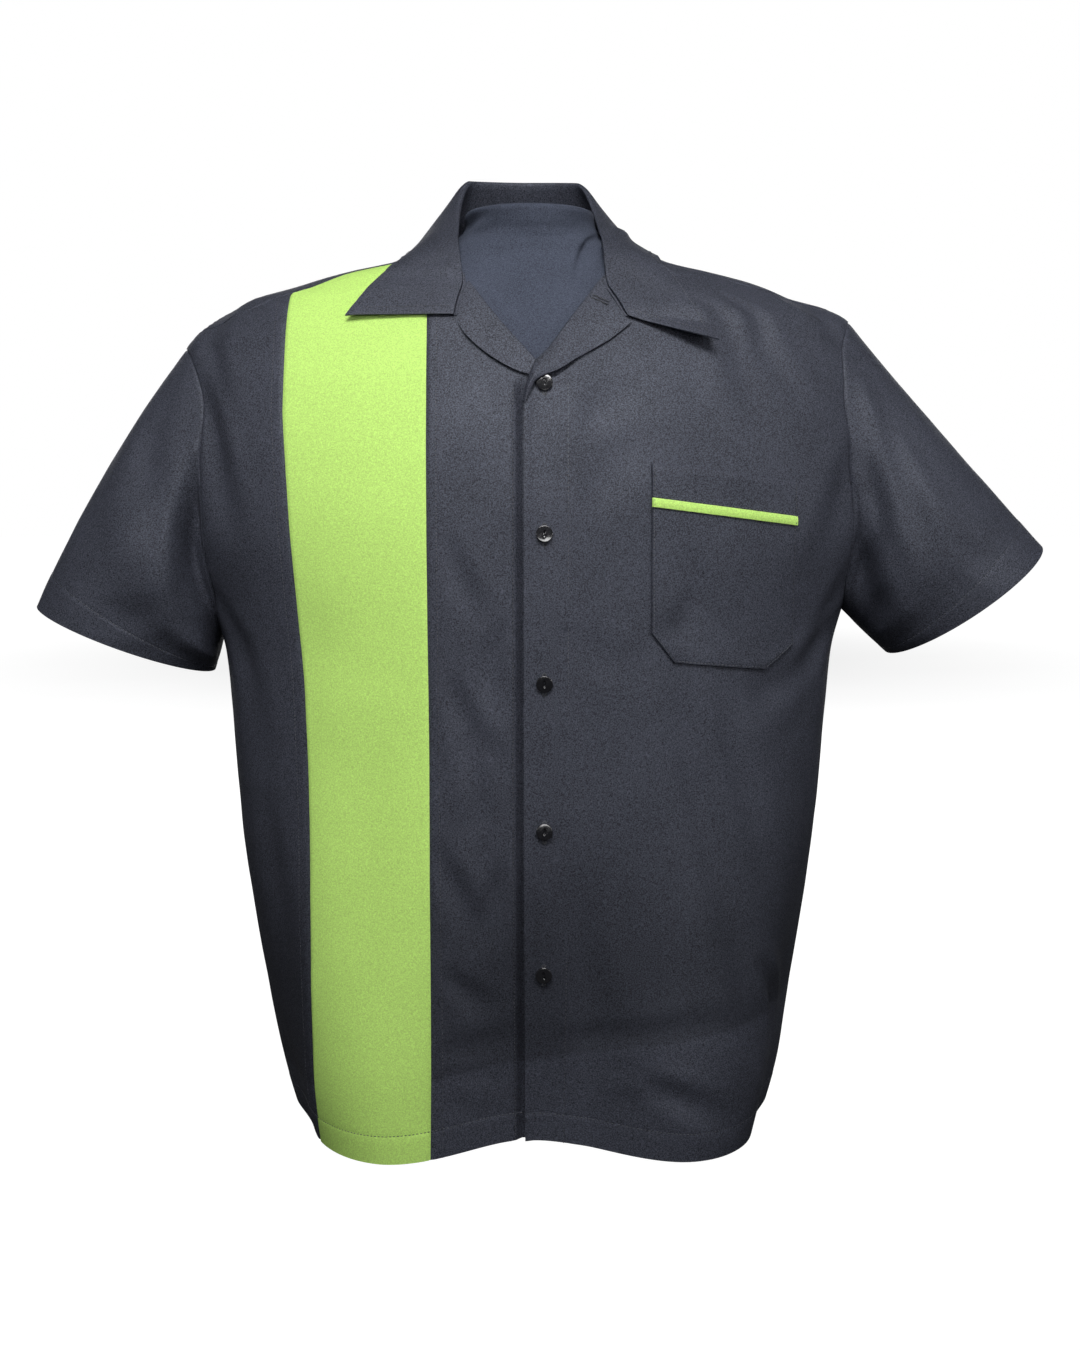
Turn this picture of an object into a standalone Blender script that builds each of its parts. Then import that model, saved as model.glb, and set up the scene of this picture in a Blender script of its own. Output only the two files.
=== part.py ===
"""A camp-collar bowling shirt on a limbless dress form, as closed solids in metres.

+X is the wearer's left, the front faces -Y, +Z is up, and z = 0 is the flat base of the form.
All panels lie on one skin: horizontal rings read from the TORSO table, with the FOLDS on them.
Each piece is an open sheet on that skin, given its wall with Solidify.
"""

import functools
import math
from collections import namedtuple

import bmesh
import bpy
from mathutils import Vector

MM = 0.001
QUARTER = math.pi / 2

# Cloth and seams
CLOTH = 1.2 * MM
COLLAR_CLOTH = 1.6 * MM
SEAM = 0.5 * MM
SHOULDER_SEAM = 1.1 * MM
CLEAR = 0.3 * MM
LAYER = CLOTH + CLEAR
SLEEVE_SEAM = 0.8 * MM

# The skin of the shirt: a ring at each height, its half widths and its depths from the centre
Section = namedtuple("Section", "height left right front back squareness")
TORSO = (
    Section(0.000, 0.175, 0.176, 0.140, 0.126, 2.40),
    Section(0.050, 0.189, 0.189, 0.140, 0.129, 2.35),
    Section(0.109, 0.200, 0.197, 0.140, 0.130, 2.30),
    Section(0.225, 0.217, 0.213, 0.140, 0.130, 2.20),
    Section(0.320, 0.224, 0.221, 0.140, 0.130, 2.15),
    Section(0.355, 0.2275, 0.2245, 0.140, 0.130, 2.10),
    Section(0.390, 0.239, 0.233, 0.140, 0.130, 2.05),
    Section(0.450, 0.262, 0.256, 0.137, 0.127, 2.00),
    Section(0.500, 0.266, 0.260, 0.128, 0.122, 2.00),
    Section(0.550, 0.262, 0.256, 0.112, 0.112, 2.00),
    Section(0.578, 0.2545, 0.248, 0.099, 0.105, 1.95),
    Section(0.598, 0.2325, 0.235, 0.090, 0.100, 1.90),
    Section(0.612, 0.2085, 0.202, 0.081, 0.093, 1.85),
    Section(0.622, 0.1745, 0.171, 0.075, 0.088, 1.85),
    Section(0.630, 0.149, 0.145, 0.071, 0.083, 1.90),
    Section(0.641, 0.0990, 0.100, 0.0665, 0.076, 1.90),
    Section(0.650, 0.0815, 0.0815, 0.0625, 0.0705, 1.95),
    Section(0.657, 0.0725, 0.0725, 0.059, 0.066, 2.00),
    Section(0.668, 0.067, 0.067, 0.056, 0.061, 2.00),
)

# Upright folds: the angle round the body from the front, in degrees, and the heights between
# which a fold fades out. A positive depth stands out.
Fold = namedtuple("Fold", "angle width depth full none")
FOLDS = (
    Fold(-35, 15, 0.017, 0.02, 0.30),
    Fold(40, 15, 0.017, 0.02, 0.34),
    Fold(1, 17, -0.021, 0.02, 0.24),
    Fold(-68, 10, -0.006, 0.02, 0.22),
    Fold(69, 10, -0.006, 0.02, 0.26),
    Fold(128, 13, 0.010, 0.02, 0.34),
    Fold(158, 12, -0.008, 0.02, 0.26),
    Fold(186, 13, 0.011, 0.02, 0.38),
    Fold(213, 11, -0.007, 0.02, 0.30),
    Fold(238, 13, 0.012, 0.02, 0.36),
)

# The hem's height round the body, and the neck seam's
Level = namedtuple("Level", "angle height")
HEM = (
    Level(-90, 0.015),
    Level(-62, 0.010),
    Level(-33, 0.0048),
    Level(1, 0.016),
    Level(38, 0.0048),
    Level(64, 0.010),
    Level(90, 0.015),
    Level(128, 0.007),
    Level(158, 0.012),
    Level(186, 0.007),
    Level(213, 0.011),
    Level(238, 0.007),
    Level(270, 0.015),
)
NECK = (Level(16, 0.6215), Level(30, 0.638), Level(48, 0.6495), Level(90, 0.6605), Level(180, 0.668))

# Heights of the armhole's ends, and its half depths
ARMPIT_LEFT, ARMPIT_RIGHT = 0.372, 0.388
TIP_LEFT, TIP_RIGHT = 0.578, 0.598
ARMHOLE_FRONT, ARMHOLE_BACK, ARMHOLE_SQUARENESS = 0.060, 0.056, 2.3
SHOULDER_FORWARD = math.radians(6)
FRONT_TOP, INSERT_TOP, CENTRE_TOP, SIDE_TOP = 0.6568, 0.6548, 0.6540, 0.6218

# Seams and edges that run up the fronts
Edge = namedtuple("Edge", "height x")
PLACKET = (
    Edge(0.000, -0.004),
    Edge(0.545, -0.004),
    Edge(0.553, 0.002),
    Edge(0.567, 0.0105),
    Edge(0.597, 0.0325),
    Edge(0.6215, 0.0485),
)
UNDERLAP = (
    Edge(0.000, 0.022),
    Edge(0.538, 0.022),
    Edge(0.547, 0.012),
    Edge(0.557, -0.001),
    Edge(0.577, -0.015),
    Edge(0.597, -0.029),
    Edge(0.6215, -0.0440),
)
INSERT_INNER = (Edge(0.000, -0.0680), Edge(0.300, -0.0695), Edge(0.640, -0.0725))
INSERT_OUTER = (
    Edge(0.000, -0.147),
    Edge(0.120, -0.150),
    Edge(0.340, -0.159),
    Edge(0.450, -0.168),
    Edge(0.530, -0.1735),
    Edge(0.625, -0.1735),
)
LAP_RISE, LAP_FULL, LAP_END = 1.8 * MM, 0.027, 0.045

# Sleeves: the cuff's outer and inner ends, its half depth, tilt and the crown's rise
Sleeve = namedtuple("Sleeve", "side outer_x outer_z inner_x inner_z depth tilt crown")
SLEEVE_RIGHT = Sleeve(-1, -0.368, 0.3885, -0.2390, 0.340, 0.0575, math.radians(2.5), 0.006)
SLEEVE_LEFT = Sleeve(1, 0.380, 0.433, 0.268, 0.354, 0.0575, math.radians(6), -0.002)
SLEEVE_SHARES = (0.0, 0.10, 0.22, 0.38, 0.56, 0.74, 0.88, 1.0)
# The way a crown rises, outward and up, and how far the front and back of a sleeve fill out
CROWN_OUT, CROWN_UP, SLEEVE_FULL = 0.75, 0.66, 6.0 * MM
# Drag folds on a sleeve: place round it from the underarm by the front, and along it
SleeveFold = namedtuple("SleeveFold", "around around_width along along_width depth")
SLEEVE_FOLDS = (
    SleeveFold(62, 30, 0.20, 0.16, -0.008),
    SleeveFold(95, 26, 0.55, 0.30, 0.005),
    SleeveFold(40, 22, 0.62, 0.22, 0.004),
    SleeveFold(300, 30, 0.22, 0.18, -0.007),
    SleeveFold(262, 28, 0.58, 0.30, 0.005),
)

# Collar: a row for each station from the notch on the wearer's right round to the left one.
# neck is the seam, roll the fold line, edge the outer edge and turn the width of the fold.
Station = namedtuple("Station", "neck roll edge turn")
COLLAR = (
    Station((-0.0510, -0.0900, 0.5960), None, (-0.1295, -0.0790, 0.5960), 0.0),
    Station((-0.0483, -0.0810, 0.6080), None, (-0.1250, -0.0640, 0.6120), 0.0),
    Station((-0.0452, -0.0725, 0.6210), None, (-0.1175, -0.0440, 0.6270), 0.0),
    Station((-0.0580, -0.0590, 0.6380), (-0.0500, -0.0570, 0.6430), (-0.1100, -0.0200, 0.6380), 3.0),
    Station((-0.0650, -0.0420, 0.6505), (-0.0515, -0.0330, 0.6600), (-0.1040, -0.0010, 0.6430), 5.0),
    Station((-0.0690, 0.0000, 0.6610), (-0.0510, 0.0020, 0.6800), (-0.0940, 0.0290, 0.6470), 7.5),
    Station((-0.0530, 0.0420, 0.6660), (-0.0440, 0.0340, 0.7030), (-0.0720, 0.0600, 0.6495), 8.0),
    Station((-0.0030, 0.0625, 0.6685), (-0.0030, 0.0500, 0.7045), (-0.0030, 0.0810, 0.6510), 7.0),
    Station((0.0510, 0.0430, 0.6660), (0.0345, 0.0380, 0.7030), (0.0670, 0.0610, 0.6495), 7.5),
    Station((0.0690, 0.0000, 0.6610), (0.0480, 0.0020, 0.6790), (0.0895, 0.0290, 0.6470), 7.0),
    Station((0.0655, -0.0420, 0.6505), (0.0510, -0.0330, 0.6590), (0.0995, -0.0010, 0.6430), 4.5),
    Station((0.0595, -0.0590, 0.6380), (0.0520, -0.0570, 0.6430), (0.1120, -0.0210, 0.6370), 3.0),
    Station((0.0518, -0.0725, 0.6210), None, (0.1210, -0.0540, 0.6220), 0.0),
    Station((0.0584, -0.0800, 0.6090), None, (0.1280, -0.0800, 0.6000), 0.0),
    Station((0.0658, -0.0880, 0.5960), None, (0.1310, -0.1000, 0.5790), 0.0),
)
COLLAR_STEPS, STAND_STEPS, FALL_STEPS = 3, 2, 5
COLLAR_LIFT, FALL_LIFT, FALL_BULGE, TURN_FULL = 1.6 * MM, 2.3 * MM, 3.2 * MM, 8.0
FLAT_STEP = 1.0 * MM
NECK_FADE = 8.0 * MM
# Two points of the fold past its roll line, as shares of its width: outward and up
FOLD_NEAR, FOLD_FAR = (0.35, 0.38), (0.95, 0.12)
BULGE_OUT, BULGE_UP = 0.6, 0.8

# Lapels: a row for each level from the opening's foot to the gorge
Turn = namedtuple("Turn", "roll_x roll_z edge_x edge_z lift")
LAPEL_RIGHT = (
    Turn(-0.0040, 0.5610, -0.0060, 0.5600, 0.5 * MM),
    Turn(-0.0160, 0.5775, -0.0180, 0.5660, 0.5 * MM),
    Turn(-0.0295, 0.5970, -0.0366, 0.5770, 0.5 * MM),
    Turn(-0.0375, 0.6100, -0.0450, 0.5835, 0.5 * MM),
    Turn(-0.0435, 0.6200, -0.0512, 0.5895, 0.5 * MM),
)
LAPEL_LEFT = (
    Turn(0.0050, 0.5565, 0.0072, 0.5520, 4.2 * MM),
    Turn(0.0125, 0.5690, 0.0174, 0.5555, 3.4 * MM),
    Turn(0.0250, 0.5870, 0.0373, 0.5670, 1.2 * MM),
    Turn(0.0390, 0.6060, 0.0554, 0.5780, 0.9 * MM),
    Turn(0.0492, 0.6205, 0.0713, 0.5895, 0.9 * MM),
)
LAPEL_STEPS = 4
NOTCH_SHARE, NOTCH_BEND = 0.75, 2.0 * MM

# Chest pocket on the wearer's left: the corners, and the widths of its band and piping
Corner = namedtuple("Corner", "share top bottom")
POCKET_LEFT_X, POCKET_RIGHT_X = 0.083, 0.1860
POCKET = (
    Corner(0.00, 0.4930, 0.3770),
    Corner(0.16, 0.4910, 0.3560),
    Corner(0.47, 0.4870, 0.3525),
    Corner(0.79, 0.4828, 0.3490),
    Corner(1.00, 0.4800, 0.3665),
)
POCKET_BAND, POCKET_PIPING, POCKET_GAP = 0.0240, 0.0056, 0.4 * MM
POCKET_LAYER, BAND_RISE, PIPING_RISE = LAYER + 0.25 * MM, 0.6 * MM, 1.1 * MM

# Buttons
BUTTON_X = 0.010
BUTTON_TOP, BUTTON_PITCH, BUTTON_COUNT = 0.547, 0.102, 5
BUTTON_RADIUS, BUTTON_THICK, BUTTON_BEVEL = 5.75 * MM, 2.0 * MM, 0.5 * MM

# Dress form: torso and neck stump, symmetrical; its shoulders follow the shirt's
FormSection = namedtuple("FormSection", "height side front back squareness")
FORM = (
    FormSection(0.0000, 0.1180, 0.0640, 0.0800, 2.2),
    FormSection(0.0020, 0.1200, 0.0660, 0.0820, 2.2),
    FormSection(0.0480, 0.1200, 0.0660, 0.0820, 2.2),
    FormSection(0.0580, 0.1340, 0.0800, 0.0900, 2.2),
    FormSection(0.0620, 0.1540, 0.1040, 0.0990, 2.2),
    FormSection(0.0680, 0.1620, 0.1120, 0.1050, 2.2),
    FormSection(0.0800, 0.1650, 0.1150, 0.1080, 2.2),
    FormSection(0.1200, 0.1640, 0.1150, 0.1090, 2.2),
    FormSection(0.1800, 0.1540, 0.1050, 0.1000, 2.2),
    FormSection(0.2500, 0.1480, 0.0990, 0.0910, 2.2),
    FormSection(0.3200, 0.1580, 0.1080, 0.0980, 2.2),
    FormSection(0.3900, 0.1760, 0.1220, 0.1100, 2.1),
    FormSection(0.4500, 0.1870, 0.1270, 0.1160, 2.1),
    FormSection(0.5000, 0.1950, 0.1200, 0.1140, 2.0),
    FormSection(0.5500, 0.2010, 0.1050, 0.1060, 2.0),
)
# Shoulder rows: how far the front stays behind the shirt's, to clear the collar
Shoulder = namedtuple("Shoulder", "height forward")
SHOULDERS = (
    Shoulder(0.578, 0.0020),
    Shoulder(0.592, 0.0020),
    Shoulder(0.602, 0.0020),
    Shoulder(0.610, 0.0020),
    Shoulder(0.616, 0.0022),
    Shoulder(0.622, 0.0030),
    Shoulder(0.627, 0.0040),
    Shoulder(0.632, 0.0050),
    Shoulder(0.638, 0.0060),
    Shoulder(0.645, 0.0065),
)
FORM_DROP, FORM_INSET, FORM_SHOULDER = 2.2 * MM, 1.8 * MM, 0.203
NECK_ROWS = (
    FormSection(0.6500, 0.0740, 0.0560, 0.0620, 2.0),
    FormSection(0.6550, 0.0600, 0.0550, 0.0530, 2.0),
    FormSection(0.6600, 0.0520, 0.0550, 0.0460, 2.0),
    FormSection(0.6670, 0.0480, 0.0560, 0.0415, 2.0),
    FormSection(0.6740, 0.0472, 0.0560, 0.0400, 2.0),
    FormSection(0.6765, 0.0462, 0.0550, 0.0390, 2.0),
    FormSection(0.6780, 0.0432, 0.0520, 0.0360, 2.0),
)
FORM_SIDES = 32

# Rows of a panel between hem and armpit, armpit and shoulder tip, tip and neck
ROWS_BELOW, ROWS_ARM, ROWS_TOP = 11, 12, 8
EDGE_SHARE = 0.02

BLACK_CLOTH = ("black_cloth", (0.045, 0.047, 0.058), 0.75)
GREEN_CLOTH = ("green_cloth", (0.50, 0.76, 0.18), 0.75)
FORM_COVER = ("form_cover", (0.075, 0.082, 0.12), 0.9)
BUTTON_RESIN = ("button_resin", (0.01, 0.01, 0.012), 0.25)


def clear_scene():
    for obj in list(bpy.data.objects):
        bpy.data.objects.remove(obj, do_unlink=True)


def shirt_collection():
    collection = bpy.data.collections.new("bowling_shirt")
    bpy.context.scene.collection.children.link(collection)
    return collection


def material(look):
    name, color, roughness = look
    found = bpy.data.materials.get(name)
    if found:
        return found
    made = bpy.data.materials.new(name)
    made.use_nodes = True
    shader = made.node_tree.nodes["Principled BSDF"]
    shader.inputs["Base Color"].default_value = (*color, 1.0)
    shader.inputs["Roughness"].default_value = roughness
    shader.inputs["Metallic"].default_value = 0.0
    return made


def mix(first, second, share):
    return first + (second - first) * share


def ease(share):
    """0 to 1 with a soft start and end."""
    share = min(1.0, max(0.0, share))
    return share * share * (3 - 2 * share)


def bell(distance):
    """1 at the middle, 0 from one width away."""
    return 0.5 + 0.5 * math.cos(math.pi * min(1.0, abs(distance)))


def smooth(keys, values, at):
    """A curve through (keys, values) that never overshoots them."""
    if at <= keys[0]:
        return values[0]
    if at >= keys[-1]:
        return values[-1]
    i = max(k for k in range(len(keys) - 1) if keys[k] <= at)
    rises = [(values[k + 1] - values[k]) / (keys[k + 1] - keys[k]) for k in range(len(keys) - 1)]

    def slope(k):
        if k in (0, len(rises)):
            return rises[min(k, len(rises) - 1)]
        before, after = rises[k - 1], rises[k]
        return 0.0 if before * after <= 0 else 2 * before * after / (before + after)

    span = keys[i + 1] - keys[i]
    t = (at - keys[i]) / span
    start = values[i] * (1 + 2 * t) * (1 - t) ** 2 + slope(i) * span * t * (1 - t) ** 2
    end = values[i + 1] * t * t * (3 - 2 * t) + slope(i + 1) * span * t * t * (t - 1)
    return start + end


def straight(edges, height):
    """x of a seam at a height, along straight lines between its points."""
    for low, high in zip(edges, edges[1:]):
        if height <= high.height:
            return mix(low.x, high.x, max(0.0, height - low.height) / (high.height - low.height))
    return edges[-1].x


@functools.lru_cache(maxsize=None)
def ring(height):
    """The torso's section at a height."""
    heights = [row.height for row in TORSO]
    columns = [smooth(heights, [getattr(row, name) for row in TORSO], height)
               for name in Section._fields[1:]]
    return Section(height, *columns)


def ring_point(section, angle):
    s, c = math.sin(angle), math.cos(angle)
    power = section.squareness
    scale = (abs(s) ** power + abs(c) ** power) ** (-1 / power)
    side = section.right if s > 0 else section.left
    depth = section.front if c > 0 else section.back
    return Vector((side * s * scale, -depth * c * scale, section.height))


def relief(angle, height):
    """How far the folds stand out at a place on the skin."""
    total = 0.0
    for fold in FOLDS:
        away = (math.degrees(angle) - fold.angle + 180) % 360 - 180
        if abs(away) < 2 * fold.width and height < fold.none:
            fade = ease((fold.none - height) / (fold.none - fold.full))
            total += fold.depth * bell(away / (2 * fold.width)) * fade
    return total


def skin(angle, height, out=0.0):
    """A point of the shirt's outer surface, moved out by a distance."""
    section = ring(height)
    point = ring_point(section, angle)
    stand = relief(angle, height)
    if stand:
        point += Vector((point.x / section.right ** 2, point.y / section.front ** 2, 0)).normalized() * stand
    if out:
        point += skin_normal(angle, height) * out
    return point


def skin_normal(angle, height):
    step = 0.002
    across = skin(angle + step, height) - skin(angle - step, height)
    up = skin(angle, height + step) - skin(angle, height - step)
    return across.cross(up).normalized()


def angle_at(x, height):
    """The angle at which the front of the skin has this x."""
    section = ring(height)
    low, high = -QUARTER, QUARTER
    for _ in range(32):
        middle = (low + high) / 2
        if ring_point(section, middle).x < x:
            low = middle
        else:
            high = middle
    return low


def turn_from_side(height, deep, rear):
    """The angle away from the side seam at which the ring lies this far before or behind it."""
    section = ring(height)
    low, high = 0.0, QUARTER
    for _ in range(32):
        middle = (low + high) / 2
        angle = QUARTER + middle if rear else QUARTER - middle
        if abs(ring_point(section, angle).y) < deep:
            low = middle
        else:
            high = middle
    return low


def levels(table, angle):
    return smooth([math.radians(row.angle) for row in table], [row.height for row in table], angle)


def wrapped(angle):
    """An angle from -90 to 270 degrees."""
    return (angle + QUARTER) % (4 * QUARTER) - QUARTER


def from_sides(left, right, angle):
    """A height given at both sides, blended round the body."""
    return mix(left, right, 0.5 + 0.5 * math.sin(angle))


def level(row, angle, top):
    """The height of a panel's row at an angle: 0 hem, 1 armpit, 2 shoulder tip, 3 top."""
    armpit = from_sides(ARMPIT_LEFT, ARMPIT_RIGHT, angle)
    tip = from_sides(TIP_LEFT, TIP_RIGHT, angle)
    if row <= 1:
        return mix(levels(HEM, wrapped(angle)), armpit, row)
    if row <= 2:
        return mix(armpit, tip, row - 1)
    return mix(tip, top(angle), row - 2)


def row_at(height, angle, top):
    """The row that passes a height above the shoulder tip."""
    tip = from_sides(TIP_LEFT, TIP_RIGHT, angle)
    return 2 + (height - tip) / (top(angle) - tip)


def arm_shares():
    return [0.5 - 0.5 * math.cos(math.pi * i / ROWS_ARM) for i in range(ROWS_ARM + 1)]


def panel_rows(corner=None):
    """A panel's rows, with one more at a corner of its outline."""
    below = [i / ROWS_BELOW for i in range(ROWS_BELOW)]
    arm = [1 + share for share in arm_shares()]
    above = [2 + (i + 1) / ROWS_TOP for i in range(ROWS_TOP)]
    return sorted(below + arm + above + ([corner] if corner else []))


def armhole_turn(row, height, rear):
    """The angle from the side seam to the armhole's edge, for rows 1 to 2."""
    middle = abs(2 * (row - 1) - 1)
    bulge = max(0.0, 1 - middle ** ARMHOLE_SQUARENESS) ** (1 / ARMHOLE_SQUARENESS)
    return turn_from_side(height, (ARMHOLE_BACK if rear else ARMHOLE_FRONT) * bulge, rear)


def shoulder_turn(side, height):
    """How far in front of the ridge the shoulder seam runs."""
    tip = TIP_RIGHT if side > 0 else TIP_LEFT
    return SHOULDER_FORWARD * ease((height - tip) / 0.03)


def gap_turn(angle, height, row):
    """Half the gap of a side or shoulder seam, as an angle."""
    step = 0.002
    speed = (skin(angle + step, height) - skin(angle - step, height)).length / (2 * step)
    return 0.5 * (SHOULDER_SEAM if row > 2 else SEAM) / speed


def front_side(side):
    """The outer boundary of a front: side seam, armhole, shoulder seam."""
    def edge(row, height):
        if row <= 1:
            turn = 0.0
        elif row < 2:
            turn = armhole_turn(row, height, False)
        else:
            turn = shoulder_turn(side, height)
        return side * (QUARTER - turn - gap_turn(side * (QUARTER - turn), height, row))
    return edge


def back_side(side):
    """The same for the back, with angles past a quarter turn."""
    def edge(row, height):
        if row <= 1:
            turn = 0.0
        elif row < 2:
            turn = armhole_turn(row, height, True)
        else:
            turn = -shoulder_turn(side, height)
        turn += gap_turn(QUARTER + turn, height, row)
        return QUARTER + turn if side > 0 else 3 * QUARTER - turn
    return edge


def neck_angle(height):
    """The angle at which the neck seam passes this height."""
    return smooth([row.height for row in NECK], [math.radians(row.angle) for row in NECK], height)


def seam(edges, shift):
    """A boundary given by a table of heights and x, moved sideways by half the seam's gap."""
    def edge(_row, height):
        return angle_at(straight(edges, height) + shift * SEAM / 2, height)
    return edge


def opening(edges, side):
    """A front's inner boundary: its edge, its roll line, then the neck seam."""
    def edge(_row, height):
        if height <= edges[-1].height:
            return angle_at(straight(edges, height), height)
        return side * max(neck_angle(height), abs(angle_at(edges[-1].x, height)))
    return edge


def insert_outer(row, height):
    """The insert's outer boundary: its seam, then the shoulder seam where that comes first."""
    sewn = seam(INSERT_OUTER, 1)(row, height)
    return sewn if row <= 2 else max(sewn, front_side(-1)(row, height))


def insert_inner(row, height):
    """The insert's inner boundary: its seam, then the neck seam where that comes first."""
    sewn = seam(INSERT_INNER, -1)(row, height)
    return sewn if row <= 2 else min(sewn, -neck_angle(height))


def settled(edge, row, top):
    """The angle of a boundary on a row, whose height depends on the angle."""
    angle = edge(row, level(row, 0.0, top))
    for _ in range(6):
        angle = edge(row, level(row, angle, top))
    return angle


def lap(point_x):
    """The left front's rise where it laps over the right one."""
    return LAP_RISE * (1 - ease((point_x - LAP_FULL) / (LAP_END - LAP_FULL)))


def sheet(name, rows, look, wall, collection, closed=False, flipped=False, even=True):
    """An open or tubular sheet through rows of points, thickened away from its outer side."""
    mesh = bpy.data.meshes.new(name)
    built = bmesh.new()
    grid = [[built.verts.new(point) for point in row] for row in rows]
    for low, high in zip(grid, grid[1:]):
        pairs = list(zip(low, high))
        following = pairs[1:] + pairs[:1] if closed else pairs[1:]
        for (a, d), (b, c) in zip(pairs, following):
            built.faces.new((d, c, b, a) if flipped else (a, b, c, d))
    bmesh.ops.remove_doubles(built, verts=built.verts, dist=0.01 * MM)
    built.to_mesh(mesh)
    built.free()
    mesh.shade_smooth()
    mesh.materials.append(material(look))
    obj = bpy.data.objects.new(name, mesh)
    collection.objects.link(obj)
    wall_modifier = obj.modifiers.new("Wall", "SOLIDIFY")
    wall_modifier.thickness = wall
    wall_modifier.offset = -1
    wall_modifier.use_even_offset = even
    return obj


def column_shares(columns):
    """Even shares, with one more close to each edge, so that the wall's rim stands square there."""
    return [0, EDGE_SHARE] + [i / columns for i in range(1, columns)] + [1 - EDGE_SHARE, 1]


def panel(name, start, end, columns, top, look, collection, rise=None, corner=None):
    """A body panel between two boundaries."""
    rows = []
    for row in panel_rows(corner):
        first, last = settled(start, row, top), settled(end, row, top)
        points = []
        for share in column_shares(columns):
            angle = mix(first, last, share)
            height = level(row, angle, top)
            point = skin(angle, height)
            points.append(skin(angle, height, rise(point.x)) if rise else point)
        rows.append(points)
    return sheet(name, rows, look, CLOTH, collection)


def build_body(collection):
    def neck_top(angle):
        return levels(NECK, abs((angle + 2 * QUARTER) % (4 * QUARTER) - 2 * QUARTER)) - SEAM

    def front_top(_angle):
        return FRONT_TOP

    def insert_top(_angle):
        return INSERT_TOP

    def centre_top(_angle):
        return CENTRE_TOP

    def side_top(_angle):
        return SIDE_TOP

    panel("back", back_side(1), back_side(-1), 22, neck_top, BLACK_CLOTH, collection,
          corner=row_at(SIDE_TOP, -QUARTER, neck_top))
    panel("front_right_side", front_side(-1), seam(INSERT_OUTER, -1), 5, side_top, BLACK_CLOTH, collection)
    corner = row_at(SIDE_TOP, angle_at(INSERT_OUTER[-1].x, SIDE_TOP), insert_top)
    panel("front_right_insert", insert_outer, insert_inner, 5, insert_top, GREEN_CLOTH, collection,
          corner=corner)
    panel("front_right_centre", seam(INSERT_INNER, 1), opening(UNDERLAP, -1), 5, centre_top,
          BLACK_CLOTH, collection)
    panel("front_left", opening(PLACKET, 1), front_side(1), 11, front_top, BLACK_CLOTH, collection, lap)


def armhole_points(side):
    """The armhole's ring, from the underarm by the front to the tip and back down behind."""
    points = []
    shares = arm_shares()
    for rear, run in ((False, shares), (True, shares[-2:0:-1])):
        for share in run:
            row = 1 + share
            angle = side * QUARTER
            for _ in range(6):
                height = level(row, angle, None)
                turn = armhole_turn(row, height, rear)
                angle = side * (QUARTER + turn if rear else QUARTER - turn)
            points.append(skin(angle, level(row, angle, None)))
    return points


def cuff_points(sleeve, count):
    """The cuff's ring, from its inner end by the front to its outer end."""
    inner = Vector((sleeve.inner_x, 0, sleeve.inner_z))
    outer = Vector((sleeve.outer_x, 0, sleeve.outer_z))
    centre, chord = (inner + outer) / 2, (outer - inner) / 2
    mouth = Vector((-chord.z, 0, chord.x)).normalized() * -sleeve.side
    forward = Vector((0, -math.cos(sleeve.tilt), 0)) + mouth * math.sin(sleeve.tilt)
    turns = [2 * math.pi * i / count for i in range(count)]
    return [centre - chord * math.cos(turn) + forward * sleeve.depth * math.sin(turn) for turn in turns]


def build_sleeve(name, sleeve, collection):
    start = armhole_points(sleeve.side)
    end = cuff_points(sleeve, len(start))
    outward = Vector((sleeve.side * SLEEVE_SEAM, 0, 0))
    rise = Vector((sleeve.side * CROWN_OUT, 0, CROWN_UP))
    rows = []
    for share in SLEEVE_SHARES:
        middle = sum(start, Vector()) / len(start) * (1 - share) + sum(end, Vector()) / len(end) * share
        row = []
        for i, (first, last) in enumerate(zip(start, end)):
            turn = 360 * i / len(start)
            point = (first + outward).lerp(last, share)
            crest = max(0.0, -math.cos(math.radians(turn)))
            point += rise * sleeve.crown * 4 * share * (1 - share) * crest
            stand = abs(math.sin(math.radians(turn))) * SLEEVE_FULL * math.sin(math.pi * share)
            for fold in SLEEVE_FOLDS:
                around = bell((turn - fold.around) / (2 * fold.around_width))
                along = bell((share - fold.along) / fold.along_width)
                stand += fold.depth * around * along
            if 0 < share < 1:
                point += (point - middle).normalized() * stand
            row.append(point)
        rows.append(row)
    return sheet(name, rows, BLACK_CLOTH, CLOTH, collection, closed=True, flipped=sleeve.side > 0)


def skin_distance(point):
    """About how far a point lies outside the shirt's skin, and the way out."""
    def value(p):
        section = ring(p.z)
        side = section.right if p.x > 0 else section.left
        depth = section.front if p.y < 0 else section.back
        power = section.squareness
        return ((abs(p.x) / side) ** power + (abs(p.y) / depth) ** power) ** (1 / power) - 1

    step = 0.1 * MM
    here = value(point)
    rise = Vector([value(point + Vector(axis) * step) - here
                   for axis in ((1, 0, 0), (0, 1, 0), (0, 0, 1))]) / step
    return here / rise.length, rise.normalized()


def kept_off(point, gap):
    """The point, moved out of the skin until it is this far from it."""
    for _ in range(4):
        distance, way = skin_distance(point)
        if distance < gap:
            point = point + way * (gap - distance)
    return point


def above_neck(point):
    """How far a point lies above the neck seam."""
    section = ring(point.z)
    side = section.right if point.x > 0 else section.left
    depth = section.front if point.y < 0 else section.back
    return point.z - levels(NECK, math.atan2(abs(point.x) / side, -point.y / depth))


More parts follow.
